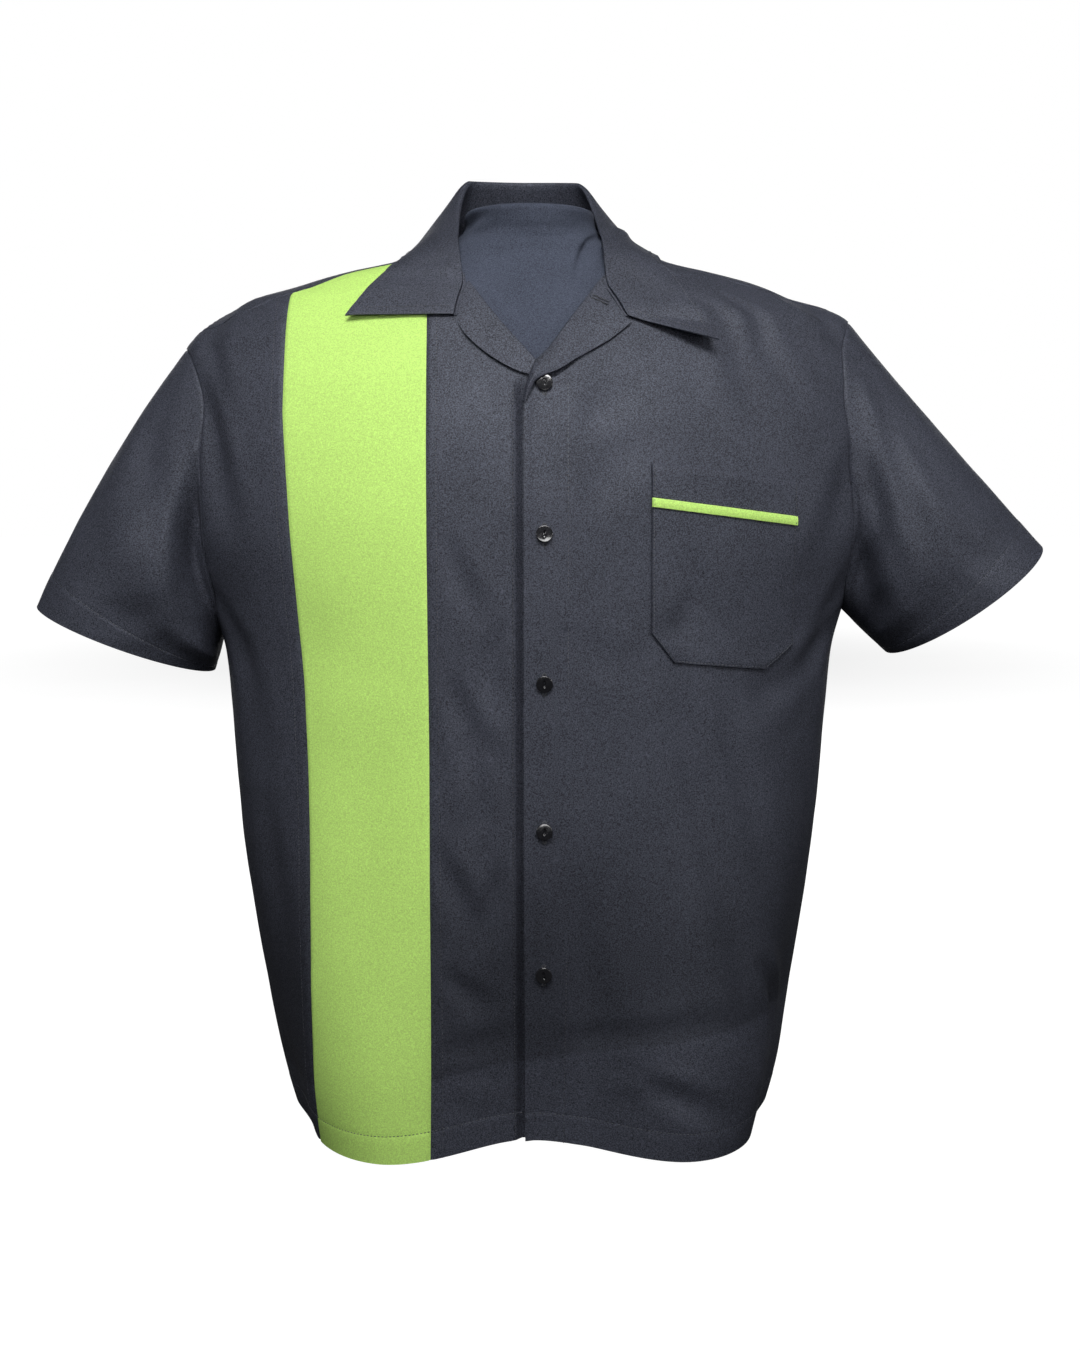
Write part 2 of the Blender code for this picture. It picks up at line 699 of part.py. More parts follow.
def collar_line(station):
    """The collar's section at a station: up the stand, round the roll and down the fall."""
    neck, edge = Vector(station.neck), Vector(station.edge)
    if station.roll:
        roll = Vector(station.roll)
        away = Vector((edge.x - roll.x, edge.y - roll.y, 0)).normalized()
        turn = station.turn * MM
        line = [neck.lerp(roll, i / STAND_STEPS) for i in range(STAND_STEPS + 1)]
        line += [roll + (away * out + Vector((0, 0, up))) * turn for out, up in (FOLD_NEAR, FOLD_FAR)]
    else:
        away = (edge - neck).normalized()
        line = [neck + away * FLAT_STEP * i for i in range(STAND_STEPS + 3)]
    start = line[-1]
    for i in range(1, FALL_STEPS + 1):
        share = i / FALL_STEPS
        bulge = FALL_BULGE * station.turn / TURN_FULL * 4 * share * (1 - share)
        line.append(start.lerp(edge, share) + (away * BULGE_OUT + Vector((0, 0, BULGE_UP))) * bulge)
    return line


def build_collar(collection):
    lines = [collar_line(station) for station in COLLAR]
    keys = range(len(lines))
    places = [i / COLLAR_STEPS for i in range((len(lines) - 1) * COLLAR_STEPS + 1)]
    rows = []
    for number in range(len(lines[0])):
        row = []
        for place in places:
            point = Vector([smooth(keys, [line[number][axis] for line in lines], place)
                            for axis in range(3)])
            lift = COLLAR_LIFT if number <= STAND_STEPS else FALL_LIFT
            push = 1 - ease(above_neck(point) / NECK_FADE) if number else 1
            row.append(point.lerp(kept_off(point, COLLAR_CLOTH + lift), push))
        rows.append(row)
    return sheet("collar", rows, BLACK_CLOTH, COLLAR_CLOTH, collection, even=False)


def build_lapel(name, table, side, collection):
    """A lapel, turned out on its front."""
    rows = []
    for i, turn in enumerate(table):
        points = []
        for j in range(LAPEL_STEPS + 1):
            share = j / LAPEL_STEPS
            x = mix(turn.roll_x, turn.edge_x, share)
            height = mix(turn.roll_z, turn.edge_z, share)
            if i == len(table) - 1:
                x -= side * NOTCH_BEND * bell((share - NOTCH_SHARE) / NOTCH_SHARE)
            rise = LAYER + turn.lift + (lap(x) if side > 0 else 0.0)
            points.append(skin(angle_at(x, height), height, rise))
        rows.append(points)
    return sheet(name, rows, BLACK_CLOTH, CLOTH, collection, flipped=side < 0)


def pocket_strip(name, look, drop, depth, rise, wall, collection):
    """A strip of the pocket, from a drop below its mouth down by a depth, or to its foot."""
    rows = []
    steps = 5 if depth is None else 1
    for i in range(steps + 1):
        points = []
        for corner, following in zip(POCKET, POCKET[1:] + POCKET[-1:]):
            for part in (0, 1 / 3, 2 / 3):
                if corner is following and part:
                    continue
                share = mix(corner.share, following.share, part)
                top = mix(corner.top, following.top, part) - drop
                low = mix(corner.bottom, following.bottom, part) if depth is None else top - depth
                height = mix(low, top, i / steps)
                x = mix(POCKET_LEFT_X, POCKET_RIGHT_X, share)
                points.append(skin(angle_at(x, height), height, rise))
        rows.append(points)
    return sheet(name, rows, look, wall, collection)


def build_pocket(collection):
    below = POCKET_BAND + POCKET_GAP
    pocket_strip("pocket_band", BLACK_CLOTH, 0.0, POCKET_BAND, POCKET_LAYER + BAND_RISE,
                 CLOTH + BAND_RISE, collection)
    pocket_strip("pocket_piping", GREEN_CLOTH, below, POCKET_PIPING, POCKET_LAYER + PIPING_RISE,
                 CLOTH + PIPING_RISE, collection)
    pocket_strip("pocket", BLACK_CLOTH, below + POCKET_PIPING + POCKET_GAP, None, POCKET_LAYER,
                 CLOTH, collection)


def build_buttons(collection):
    """Buttons, flat on the placket. Each disc's axis is the cloth's normal."""
    for i in range(BUTTON_COUNT):
        height = BUTTON_TOP - i * BUTTON_PITCH
        angle = angle_at(BUTTON_X, height)
        normal = skin_normal(angle, height)
        centre = skin(angle, height, lap(BUTTON_X) + CLEAR + 0.1 * MM + BUTTON_THICK / 2)
        bpy.ops.mesh.primitive_cylinder_add(vertices=20, radius=BUTTON_RADIUS, depth=BUTTON_THICK)
        button = bpy.context.object
        button.name = f"button_{i + 1}"
        button.rotation_euler = normal.to_track_quat("Z", "Y").to_euler()
        button.location = centre
        bevel = button.modifiers.new("Edge", "BEVEL")
        bevel.width = BUTTON_BEVEL
        bevel.segments = 1
        button.data.materials.append(material(BUTTON_RESIN))
        for owner in list(button.users_collection):
            owner.objects.unlink(button)
        collection.objects.link(button)


def form_sections():
    rows = list(FORM)
    for row in SHOULDERS:
        shirt = ring(row.height + FORM_DROP)
        side = min(shirt.left, shirt.right, FORM_SHOULDER + FORM_INSET) - FORM_INSET
        rows.append(FormSection(row.height, side, shirt.front - row.forward, shirt.back - FORM_INSET,
                                shirt.squareness))
    return rows + list(NECK_ROWS)


def build_form(collection):
    """The dress form: a loft from its flat base to the cap of its neck."""
    mesh = bpy.data.meshes.new("dress_form")
    built = bmesh.new()
    loops = []
    for row in form_sections():
        section = Section(row.height, row.side, row.side, row.front, row.back, row.squareness)
        turns = [2 * math.pi * i / FORM_SIDES for i in range(FORM_SIDES)]
        loops.append([built.verts.new(ring_point(section, turn)) for turn in turns])
    for low, high in zip(loops, loops[1:]):
        for i in range(FORM_SIDES):
            j = (i + 1) % FORM_SIDES
            built.faces.new((low[i], low[j], high[j], high[i]))
    built.faces.new(loops[0][::-1])
    built.faces.new(loops[-1])
    built.to_mesh(mesh)
    built.free()
    mesh.shade_smooth()
    mesh.materials.append(material(FORM_COVER))
    collection.objects.link(bpy.data.objects.new("dress_form", mesh))


def main():
    clear_scene()
    collection = shirt_collection()
    build_form(collection)
    build_body(collection)
    build_sleeve("sleeve_right", SLEEVE_RIGHT, collection)
    build_sleeve("sleeve_left", SLEEVE_LEFT, collection)
    build_collar(collection)
    build_lapel("lapel_right", LAPEL_RIGHT, -1, collection)
    build_lapel("lapel_left", LAPEL_LEFT, 1, collection)
    build_pocket(collection)
    build_buttons(collection)


main()
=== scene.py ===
"""The looks of a camp-collar bowling shirt on a limbless dress form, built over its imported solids.

+X is the wearer's left, the front faces -Y and +Z is up. Every cloth piece is a thin shell on the
shirt's skin: rings read from the TORSO table, with the standing folds, creases and seams on them.
Tables give lengths in millimetres. Everything else is in metres, unless it says otherwise.
"""

import math
from collections import namedtuple

import bmesh
import bpy
import numpy as np
from mathutils import Matrix, Vector, noise


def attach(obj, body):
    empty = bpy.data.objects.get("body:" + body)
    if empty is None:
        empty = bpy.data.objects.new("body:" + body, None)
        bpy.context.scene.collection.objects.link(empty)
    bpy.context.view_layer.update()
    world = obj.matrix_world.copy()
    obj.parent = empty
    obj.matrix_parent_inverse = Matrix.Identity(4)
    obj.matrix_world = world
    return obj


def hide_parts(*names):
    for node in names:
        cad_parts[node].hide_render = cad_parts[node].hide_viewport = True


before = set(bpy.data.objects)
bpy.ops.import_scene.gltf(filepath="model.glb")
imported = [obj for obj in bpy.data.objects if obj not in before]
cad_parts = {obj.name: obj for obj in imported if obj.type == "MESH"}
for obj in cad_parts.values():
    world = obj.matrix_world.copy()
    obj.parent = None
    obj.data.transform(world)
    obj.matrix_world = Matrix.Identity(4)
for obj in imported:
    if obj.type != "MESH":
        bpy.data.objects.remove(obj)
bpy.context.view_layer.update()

MM = 0.001
QUARTER = math.pi / 2


def metres(value):
    if isinstance(value, tuple):
        return tuple(metres(part) for part in value)
    return value if value is None else value / 1000


def table(kind, plain, *rows):
    """Rows of a kind. All their fields apart from the plain ones are given in millimetres."""
    return tuple(kind(*[value if name in plain.split() else metres(value)
                        for name, value in zip(kind._fields, row)]) for row in rows)


# ---- the shirt's cut: the same sizes as its solids ----
WALL = 0.6 * MM
COLLAR_WALL = 1.0 * MM
LAYER = 1.5 * MM
Section = namedtuple("Section", "height left right front back squareness")
TORSO = table(Section, "squareness",
    (0, 175, 176, 140, 126, 2.4),
    (50, 189, 189, 140, 129, 2.35),
    (109, 200, 197, 140, 130, 2.3),
    (225, 217, 213, 140, 130, 2.2),
    (320, 224, 221, 140, 130, 2.15),
    (355, 227.5, 224.5, 140, 130, 2.1),
    (390, 239, 233, 140, 130, 2.05),
    (450, 262, 256, 137, 127, 2),
    (500, 266, 260, 128, 122, 2),
    (550, 262, 256, 112, 112, 2),
    (578, 254.5, 248, 99, 105, 1.95),
    (598, 232.5, 235, 90, 100, 1.9),
    (612, 208.5, 202, 81, 93, 1.85),
    (622, 174.5, 171, 75, 88, 1.85),
    (630, 149, 145, 71, 83, 1.9),
    (641, 99, 100, 66.5, 76, 1.9),
    (650, 81.5, 81.5, 62.5, 70.5, 1.95),
    (657, 72.5, 72.5, 59, 66, 2),
    (668, 67, 67, 56, 61, 2))
Fold = namedtuple("Fold", "angle width depth full none")
FOLDS = table(Fold, "angle width",
    (-35, 15, 17, 20, 300), (40, 15, 17, 20, 340), (1, 17, -21, 20, 240), (-68, 10, -6, 20, 220),
    (69, 10, -6, 20, 260), (128, 13, 10, 20, 340), (158, 12, -8, 20, 260), (186, 13, 11, 20, 380),
    (213, 11, -7, 20, 300), (238, 13, 12, 20, 360))
Level = namedtuple("Level", "angle height")
HEM = table(Level, "angle",
    (-90, 15), (-62, 10), (-33, 4.8), (1, 16), (38, 4.8), (64, 10), (90, 15), (128, 7), (158, 12), (186, 7),
    (213, 11), (238, 7), (270, 15))
NECK = table(Level, "angle",
    (16, 621.5), (30, 638), (48, 649.5), (90, 660.5), (180, 668))
ARMPIT_LEFT, ARMPIT_RIGHT = 0.372, 0.388
TIP_LEFT, TIP_RIGHT = 0.578, 0.598
ARMHOLE_FRONT, ARMHOLE_BACK, ARMHOLE_SQUARENESS = 0.060, 0.056, 2.3
SHOULDER_FORWARD = math.radians(6)
FRONT_TOP, INSERT_TOP, CENTRE_TOP, SIDE_TOP = 0.6568, 0.6548, 0.6540, 0.6218
Edge = namedtuple("Edge", "height x")
PLACKET = table(Edge, "",
    (0, -4), (545, -4), (553, 2), (567, 10.5), (597, 32.5), (621.5, 48.5))
UNDERLAP = table(Edge, "",
    (0, 22), (538, 22), (548, 17), (556.2, 10.4), (562.1, 4.8), (571.2, -3.4), (586, -16.6), (600.9, -29.2),
    (621.5, -44))
INSERT_INNER = table(Edge, "",
    (0, -68), (300, -69.5), (640, -72.5))
INSERT_OUTER = table(Edge, "",
    (0, -147), (120, -150), (340, -159), (450, -168), (530, -173.5), (625, -173.5))
LAP_RISE, LAP_FULL, LAP_END = 1.8 * MM, 0.027, 0.045
Sleeve = namedtuple("Sleeve", "side outer_x outer_z inner_x inner_z depth tilt crown")
SLEEVE_RIGHT = Sleeve(-1, -0.368, 0.3885, -0.2390, 0.340, 0.0575, math.radians(2.5), 0.006)
SLEEVE_LEFT = Sleeve(1, 0.380, 0.433, 0.268, 0.354, 0.0575, math.radians(6), -0.002)
CROWN_OUT, CROWN_UP, SLEEVE_FULL = 0.75, 0.66, 6.0 * MM
SleeveFold = namedtuple("SleeveFold", "around around_width along along_width depth")
SLEEVE_FOLDS = table(SleeveFold, "around around_width along along_width",
    (62, 30, 0.2, 0.16, -8), (95, 26, 0.55, 0.3, 5), (40, 22, 0.62, 0.22, 4), (300, 30, 0.22, 0.18, -7),
    (262, 28, 0.58, 0.3, 5))
Station = namedtuple("Station", "neck roll edge turn lift")
COLLAR = table(Station, "",
    ((-51, -90, 596), None, (-129.5, -79, 596), 0, 3.6),
    ((-48.3, -81, 608), None, (-121.7, -74.5, 607.9), 0, 3.6),
    ((-45.2, -72.5, 621), None, (-112.4, -64.4, 620.1), 0, 3),
    ((-58, -59, 638), (-50, -57, 643), (-102.6, -54.8, 630.6), 3, 1.6),
    ((-65, -42, 650.5), (-51.5, -33, 660), (-95, -35.5, 639.7), 4.5, 0.9),
    ((-69, 0, 661), (-51, 2, 680), (-91.2, 12, 645), 7.5, 0.9),
    ((-53, 42, 666), (-44, 34, 703), (-72, 60, 649.5), 8, 1.8),
    ((-3, 62.5, 668.5), (-3, 50, 704.5), (-3, 81, 651), 7, 2),
    ((51, 43, 666), (33.5, 38, 703), (67, 60, 649.5), 5.2, 1.8),
    ((68, 0, 661), (46.5, 2, 676), (88.5, 12, 645), 4.2, 0.9),
    ((65.5, -42, 650.5), (50, -33, 657), (95.7, -48.3, 635.2), 3.5, 0.9),
    ((59.5, -59, 638), (52, -57, 643), (106.8, -58.2, 624.3), 3, 1.6),
    ((51.8, -72.5, 621), None, (116.8, -74, 608.5), 0, 3),
    ((58.4, -80, 609), None, (124.8, -84, 592), 0, 3.6),
    ((65.8, -88, 596), None, (131, -100, 579), 0, 3.6))
STAND_STEPS, FALL_STEPS = 2, 5
COLLAR_END, FALL_START, FALL_SHARE = STAND_STEPS + 2 + FALL_STEPS, 4.2, 0.45
COLLAR_GAP, COLLAR_LIFT, FALL_BULGE, TURN_FULL = 1.6 * MM, -0.9 * MM, 3.2 * MM, 8.0 * MM
FLAT_STEP, NECK_FADE = 1.0 * MM, 8.0 * MM
FOLD_NEAR, FOLD_FAR = (0.35, 0.38), (0.95, 0.12)
BULGE_OUT, BULGE_UP = 0.6, 0.8
Turn = namedtuple("Turn", "roll_x roll_z edge_x edge_z lift")
LAPEL_RIGHT = table(Turn, "",
    (10.4, 556.2, 7.7, 550, 0.5), (4.8, 562.1, 1, 553, 0.6), (-3.4, 571.2, -7.5, 555.5, 0.8),
    (-16.6, 586, -18, 560.5, 1), (-29.2, 600.9, -33, 570.5, 1), (-39, 614, -45, 582, 0.8),
    (-43.5, 620, -51.2, 589.5, 0.5))
LAPEL_LEFT = table(Turn, "",
    (-4, 534, -3.6, 533.5, 2.2), (-3, 542, -0.6, 540.5, 3.2), (0.2, 551, 3.6, 547.5, 3.8),
    (4.3, 560.5, 9.5, 551, 3.8), (12.5, 569, 18.4, 554.3, 3.2), (25, 587, 37.3, 567, 1.2),
    (39, 606, 55.4, 578, 0.9), (49.2, 620.5, 71.3, 589.5, 0.9))
NOTCH_SHARE, NOTCH_BEND = 0.75, 2.0 * MM
LAPEL_ROLL = ((0.0, 0.25), (0.9 * MM, 0.45), (0.99 * MM, 0.8))
LAPEL_SAG, LAPEL_WALL = 0.25, 0.8 * MM
LAPEL_HOLE = ((0.0430, 0.6085), (0.0545, 0.6035))
Corner = namedtuple("Corner", "share top bottom")
POCKET_LEFT_X, POCKET_RIGHT_X = 0.083, 0.1860
POCKET = table(Corner, "share",
    (0, 493, 377), (0.16, 491, 356), (0.47, 487, 352.5), (0.79, 482.8, 349), (1, 480, 366.5))
POCKET_BAND, POCKET_PIPING = 0.0240, 0.0056
POCKET_LAYER, BAND_RISE, PIPING_RISE = LAYER + 0.75 * MM, 0.6 * MM, 1.5 * MM
POCKET_ROUND, POCKET_EDGE = 1.7 * MM, 0.4 * MM
POCKET_GROOVE, POCKET_GROOVE_WIDTH = 0.25 * MM, 1.2 * MM
MOUTH_GAPE, MOUTH_ROUND, MOUTH_EDGE = 1.3 * MM, 1.3 * MM, 0.9 * MM
MOUTH_GROOVE, MOUTH_GROOVE_WIDTH = 0.35 * MM, 1.3 * MM
PUCKERS = ((0.35, 23.0, 1.3), (0.25, 51.0, 0.0))
PANEL_WALL, TRIM_WALL, TRIM_TUCK, TRIM_ROUND = 0.8 * MM, 1.2 * MM, 0.2 * MM, 0.5 * MM
BUTTON_X, BUTTON_TOP, BUTTON_PITCH = 0.010, 0.547, 0.102
BUTTON_RADIUS, BUTTON_THICK, BUTTON_RISE, BUTTON_EDGE = 5.75 * MM, 2.0 * MM, 0.9 * MM, 0.45 * MM
BUTTON_INSETS = ((1.1, 0.0), (0.9, -0.35), (1.0, 0.10))
BUTTON_EYE, BUTTON_HOLE = (1.05 * MM, 3.0 * MM, 0.75 * MM), 1.15 * MM
BUTTON_TILTS, BUTTON_LEANS = (5, -7, 4, -3, 8), (-7, 6, -3, 4, 2)
FormSection = namedtuple("FormSection", "height side front back squareness")
FORM = table(FormSection, "squareness",
    (0, 118, 64, 80, 2.2), (2, 120, 66, 82, 2.2), (48, 120, 66, 82, 2.2), (58, 134, 80, 90, 2.2),
    (62, 154, 104, 99, 2.2), (68, 162, 112, 105, 2.2), (80, 165, 115, 108, 2.2), (120, 164, 115, 109, 2.2),
    (180, 154, 105, 100, 2.2), (250, 148, 99, 91, 2.2), (320, 158, 108, 98, 2.2), (390, 176, 122, 110, 2.1),
    (450, 187, 127, 116, 2.1), (500, 195, 120, 114, 2), (550, 201, 105, 106, 2))
Shoulder = namedtuple("Shoulder", "height forward")
SHOULDERS = table(Shoulder, "",
    (578, 2), (592, 2), (602, 2), (610, 2), (616, 2.2), (622, 3), (627, 4), (632, 5), (638, 6), (645, 6.5))
FORM_DROP, FORM_INSET, FORM_SHOULDER, FORM_TOP = 2.2 * MM, 1.8 * MM, 0.203, 0.6785
NECK_ROWS = table(FormSection, "squareness",
    (650, 74, 56, 62, 2), (655, 60, 55, 53, 2), (660, 52, 55, 46, 2), (667, 48, 56, 41.5, 2),
    (674, 47.2, 56, 40, 2), (676.5, 46.2, 55, 39, 2), (678, 43.2, 52, 36, 2))

# ---- sewing ----
TOPSTITCH, OUTER_TOPSTITCH = 7.0 * MM, 8.05 * MM
HEM_DEPTH, HEM_DOUBLE, HEM_STEP = 20.0 * MM, 0.25 * MM, 1.2 * MM
FACING_X, UNDERLAP_STITCH_X = 0.0262, -0.0115
COLLAR_STITCH, COLLAR_ROW, COLLAR_ENDS = 5.8 * MM, (0.435, 13.62), (0.45, 13.6)
HEM_GAP = 0.4
POCKET_STITCH, MOUTH_STITCH = 1.6 * MM, 2.2 * MM
SEAM_DIP, SEAM_ROUND = 0.9 * MM, 1.4 * MM
PLACKET_DIP = 0.25 * MM
SLEEVE_RUN, TUCK = 0.165, 0.6
PLACKET_LIFT, PLACKET_SOFT, PLACKET_TOP, PLACKET_FADE = 1.8 * MM, 5.0 * MM, 0.56, 0.02
PLACKET_VALLEY, VALLEY_ASIDE, VALLEY_WIDTH, UNDERLAP_TOP = 5.6 * MM, 0.5 * MM, 4.2 * MM, 0.54
BACK_FORWARD, SHOULDER_LAYER = math.radians(25), 0.55 * MM
GROOVE_DEPTH, GROOVE_WIDTH = 0.35 * MM, 1.6 * MM
STITCH_PITCH, STITCH_LENGTH, STITCH_RADIUS = 2.7 * MM, 1.8 * MM, 0.30 * MM
STITCH_FLAT, STITCH_PROUD = 0.8, 0.25

# ---- creases: where the cloth dips or stands, on the front (x, z), the back (x, z) and the sleeves ----
Crease = namedtuple("Crease", "points width depth")
FRONT_CREASES = table(Crease, "",
    (((100, 351), (119, 259), (143, 150), (155, 86)), 15, -3.9),
    (((130, 345), (150, 250), (168, 160)), 16, -2.4),
    (((150, 607), (165, 576), (183, 541)), 10, -2.8),
    (((196, 619), (209.5, 600), (221.6, 582)), 8, -2.4),
    (((120, 608), (147, 572), (160, 523)), 12, -2.2),
    (((-240, 561), (-225, 510), (-214, 453.5)), 10, -3.6),
    (((-223.6, 613), (-229.7, 575), (-219.6, 531)), 9, -2.2),
    (((-226, 395), (-205, 350), (-196, 290)), 14, -2.4),
    (((-190, 250), (-178, 170), (-168, 90)), 16, -2.2),
    (((240, 520), (222, 470), (205, 420)), 13, -2),
    (((226, 410), (208, 365), (196, 310)), 14, -1.8),
    (((224, 380), (190, 345), (150, 325)), 12, -2),
    (((-54, 437), (-47, 413), (-40, 395)), 9, -1.7),
    (((-20, 380), (-27, 355), (-27, 332)), 9, -1.8),
    (((-53, 340), (-42, 311), (-30, 285)), 10, -2.1),
    (((-62, 225), (-50, 196), (-40, 168)), 10, -2.4),
    (((-20, 212), (-26, 190), (-29, 168)), 9, -2),
    (((-56, 138), (-46, 126), (-34, 114)), 9, -2),
    (((-46, 300), (-36, 262), (-46, 235)), 10, -1.5),
    (((36, 375), (50, 360), (72, 348)), 12, -1),
    (((21, 235), (35, 157), (49, 86)), 15, -2.1),
    (((48, 468), (60, 490), (76, 509)), 14, -1.4),
    (((41, 522), (58, 537), (76, 550)), 13, -1.4),
    (((20, 90), (77, 96), (121, 102), (145, 92)), 10, -1.2),
    (((60, 58), (95, 66), (125, 64)), 11, 1.2),
    (((-64, 83), (-38, 87), (-8, 90)), 10, -1),
    (((-55, 58), (-40, 52), (-22, 50)), 9, 0.9),
    (((160, 138), (174, 107), (178.5, 77)), 9, -4.5),
    (((77, 65.5), (106, 47), (129, 30)), 9, -2.1),
    (((110, 427), (115, 400), (117.7, 371.5)), 11, -1.4),
    (((110.3, 399.4), (100, 380), (89.6, 365.3)), 11, -1.2),
    (((-112, 300), (-118, 200), (-112, 100)), 24, -1.8))
BACK_CREASES = table(Crease, "",
    (((205, 560), (160, 530), (105, 515)), 14, -2.2),
    (((-205, 555), (-150, 520), (-90, 500)), 14, -2.2),
    (((232, 470), (205, 420), (170, 380)), 13, -2.8),
    (((-236, 460), (-205, 405), (-165, 370)), 13, -2.8),
    (((205, 340), (165, 300), (110, 285)), 14, -1.8),
    (((-205, 330), (-160, 285), (-100, 262)), 14, -1.8),
    (((60, 610), (20, 600), (-30, 604)), 12, -1.4),
    (((95, 430), (85, 300), (92, 160)), 20, -2.2),
    (((-70, 460), (-82, 330), (-75, 180)), 20, -2.2),
    (((10, 400), (18, 260), (8, 120)), 18, -1.6),
    (((-150, 250), (-145, 160), (-152, 80)), 17, -1.6),
    (((155, 240), (150, 150), (158, 80)), 17, -1.6),
    (((40, 470), (52, 440), (46, 400)), 11, -1),
    (((-30, 300), (-42, 265), (-34, 230)), 11, -1),
    (((-120, 78), (-60, 85), (10, 74)), 9, -1.3),
    (((120, 420), (128, 390), (118, 360)), 11, -1.1))
# On a sleeve's front and back halves: (distance out from the body's middle, height)
RIGHT_SLEEVE_CREASES = table(Crease, "",
    (((236, 488), (239.5, 440), (240.5, 385)), 12, -10),
    (((262, 545), (275, 500), (276, 450)), 11, -2.2),
    (((300, 520), (318, 480), (322, 440)), 10, -1.7),
    (((262, 400), (285, 385), (310, 380)), 10, -1))
LEFT_SLEEVE_CREASES = table(Crease, "",
    (((227.5, 470), (236, 420), (256, 375)), 12, -8),
    (((239.8, 545), (255.8, 489), (274.4, 417)), 8, 2.5),
    (((264.4, 537), (287.9, 510), (313, 481)), 8, 1.8),
    (((248, 520), (268, 470), (290, 430)), 9, -2.2),
    (((300, 440), (325, 425), (345, 420)), 10, -1.7))
SLEEVE_BACK_CREASES = table(Crease, "",
    (((240, 520), (250, 460), (262, 400)), 11, -4.8),
    (((250, 560), (285, 520), (320, 490)), 11, -2.5),
    (((280, 500), (300, 450), (312, 420)), 10, -2),
    (((262, 420), (290, 405), (318, 400)), 10, -2.1))
# On the front of the form's cover (x, z)
COVER_CREASES = table(Crease, "",
    (((54, 657), (43.5, 651), (37.5, 639), (33, 615)), 4.5, -3.4),
    (((44, 664), (33, 650), (28, 630)), 6, 0.9),
    (((-49, 660), (-42, 668), (-30, 673.5)), 4.5, -2.8),
    (((-44, 650), (-33, 660), (-16, 667)), 6, -0.9),
    (((2, 642), (12, 625), (16, 605)), 12, -0.6))
CREASE_SPREAD, RIDGE, RIDGE_TIGHT, RIDGE_AWAY = (0.65, 1.15), 0.38, 1.6, 1.75
RUMPLE = ((34 * MM, 0.55 * MM, 3.1), (15 * MM, 0.16 * MM, 8.7))


# ---- numbers ----
def mix(first, second, share):
    return first + (second - first) * share


def ease(share):
    share = np.clip(share, 0.0, 1.0)
    return share * share * (3 - 2 * share)


def faded(share, near, far):
    """1 along a run, and down to 0 at both its ends."""
    return ease(share / near) * ease((1 - share) / far)


def bell(distance):
    return 0.5 + 0.5 * np.cos(math.pi * np.minimum(1.0, np.abs(distance)))


def smooth(keys, values, at):
    """Curves through (keys, values) that never overshoot them."""
    keys, values = np.asarray(keys, float), np.asarray(values, float)
    at = np.clip(at, keys[0], keys[-1])
    rises = np.diff(values) / np.diff(keys)
    before, after = rises[:-1], rises[1:]
    total = np.where(before + after == 0, 1.0, before + after)
    inner = np.where(before * after > 0, 2 * before * after / total, 0.0)
    slopes = np.concatenate([rises[:1], inner, rises[-1:]])
    i = np.clip(np.searchsorted(keys, at, side="right") - 1, 0, len(keys) - 2)
    span = keys[i + 1] - keys[i]
    t = (at - keys[i]) / span
    start = values[i] * (1 + 2 * t) * (1 - t) ** 2 + slopes[i] * span * t * (1 - t) ** 2
    end = values[i + 1] * t * t * (3 - 2 * t) + slopes[i + 1] * span * t * t * (t - 1)
    return start + end


def unit(vectors):
    return vectors / np.maximum(np.linalg.norm(vectors, axis=-1, keepdims=True), 1e-12)


def between(at, run, rows):
    """Rows of numbers that are known along a run, at other places along it."""
    return np.stack([np.interp(at, run, rows[:, k]) for k in range(rows.shape[1])], 1)


def column(rows, name):
    return [getattr(row, name) for row in rows]


def halved(low, high, holds):
    """The place between two bounds up to which a test holds."""
    for _ in range(32):
        middle = (low + high) / 2
        less = holds(middle)
        low, high = np.where(less, middle, low), np.where(less, high, middle)
    return low


# ---- the skin ----
def ring(height):
    heights = column(TORSO, "height")
    return Section(height, *[smooth(heights, column(TORSO, name), height) for name in Section._fields[1:]])


def reach(section, x, y):
    """A ring's half width and half depth towards (x, y)."""
    return np.where(x > 0, section.right, section.left), np.where(y < 0, section.front, section.back)


def ring_point(section, angle):
    s, c = np.sin(angle), np.cos(angle)
    power = section.squareness
    scale = (np.abs(s) ** power + np.abs(c) ** power) ** (-1 / power)
    side, depth = reach(section, s, -c)
    height = section.height + np.zeros_like(side * scale)
    return np.stack([side * s * scale, -depth * c * scale, height], axis=-1)


def relief(angle, height):
    total = np.zeros(np.broadcast(angle, height).shape)
    for fold in FOLDS:
        away = (np.degrees(angle) - fold.angle + 180) % 360 - 180
        fade = ease((fold.none - height) / (fold.none - fold.full))
        total = total + fold.depth * bell(away / (2 * fold.width)) * fade
    return total


def skin(angle, height):
    section = ring(height)
    point = ring_point(section, angle)
    way = unit(np.stack([point[..., 0] / section.right ** 2, point[..., 1] / section.front ** 2,
                         np.zeros_like(point[..., 0])], axis=-1))
    return point + way * relief(angle, height)[..., None]


def skin_normal(angle, height):
    step = 0.002
    across = skin(angle + step, height) - skin(angle - step, height)
    up = skin(angle, height + step) - skin(angle, height - step)
    return unit(np.cross(across, up))


def angle_at(x, height):
    """The angle at which the front of the skin has this x."""
    section = ring(np.asarray(height, float))
    low = np.full(np.broadcast(x, height).shape, -QUARTER)
    return halved(low, -low, lambda angle: ring_point(section, angle)[..., 0] < x)


def off_skin(x, height, out):
    """Points off the front of the skin at (x, height), and the ways out there."""
    angle = angle_at(x, height)
    normal = skin_normal(angle, height)
    return skin(angle, height) + normal * np.asarray(out)[..., None], normal


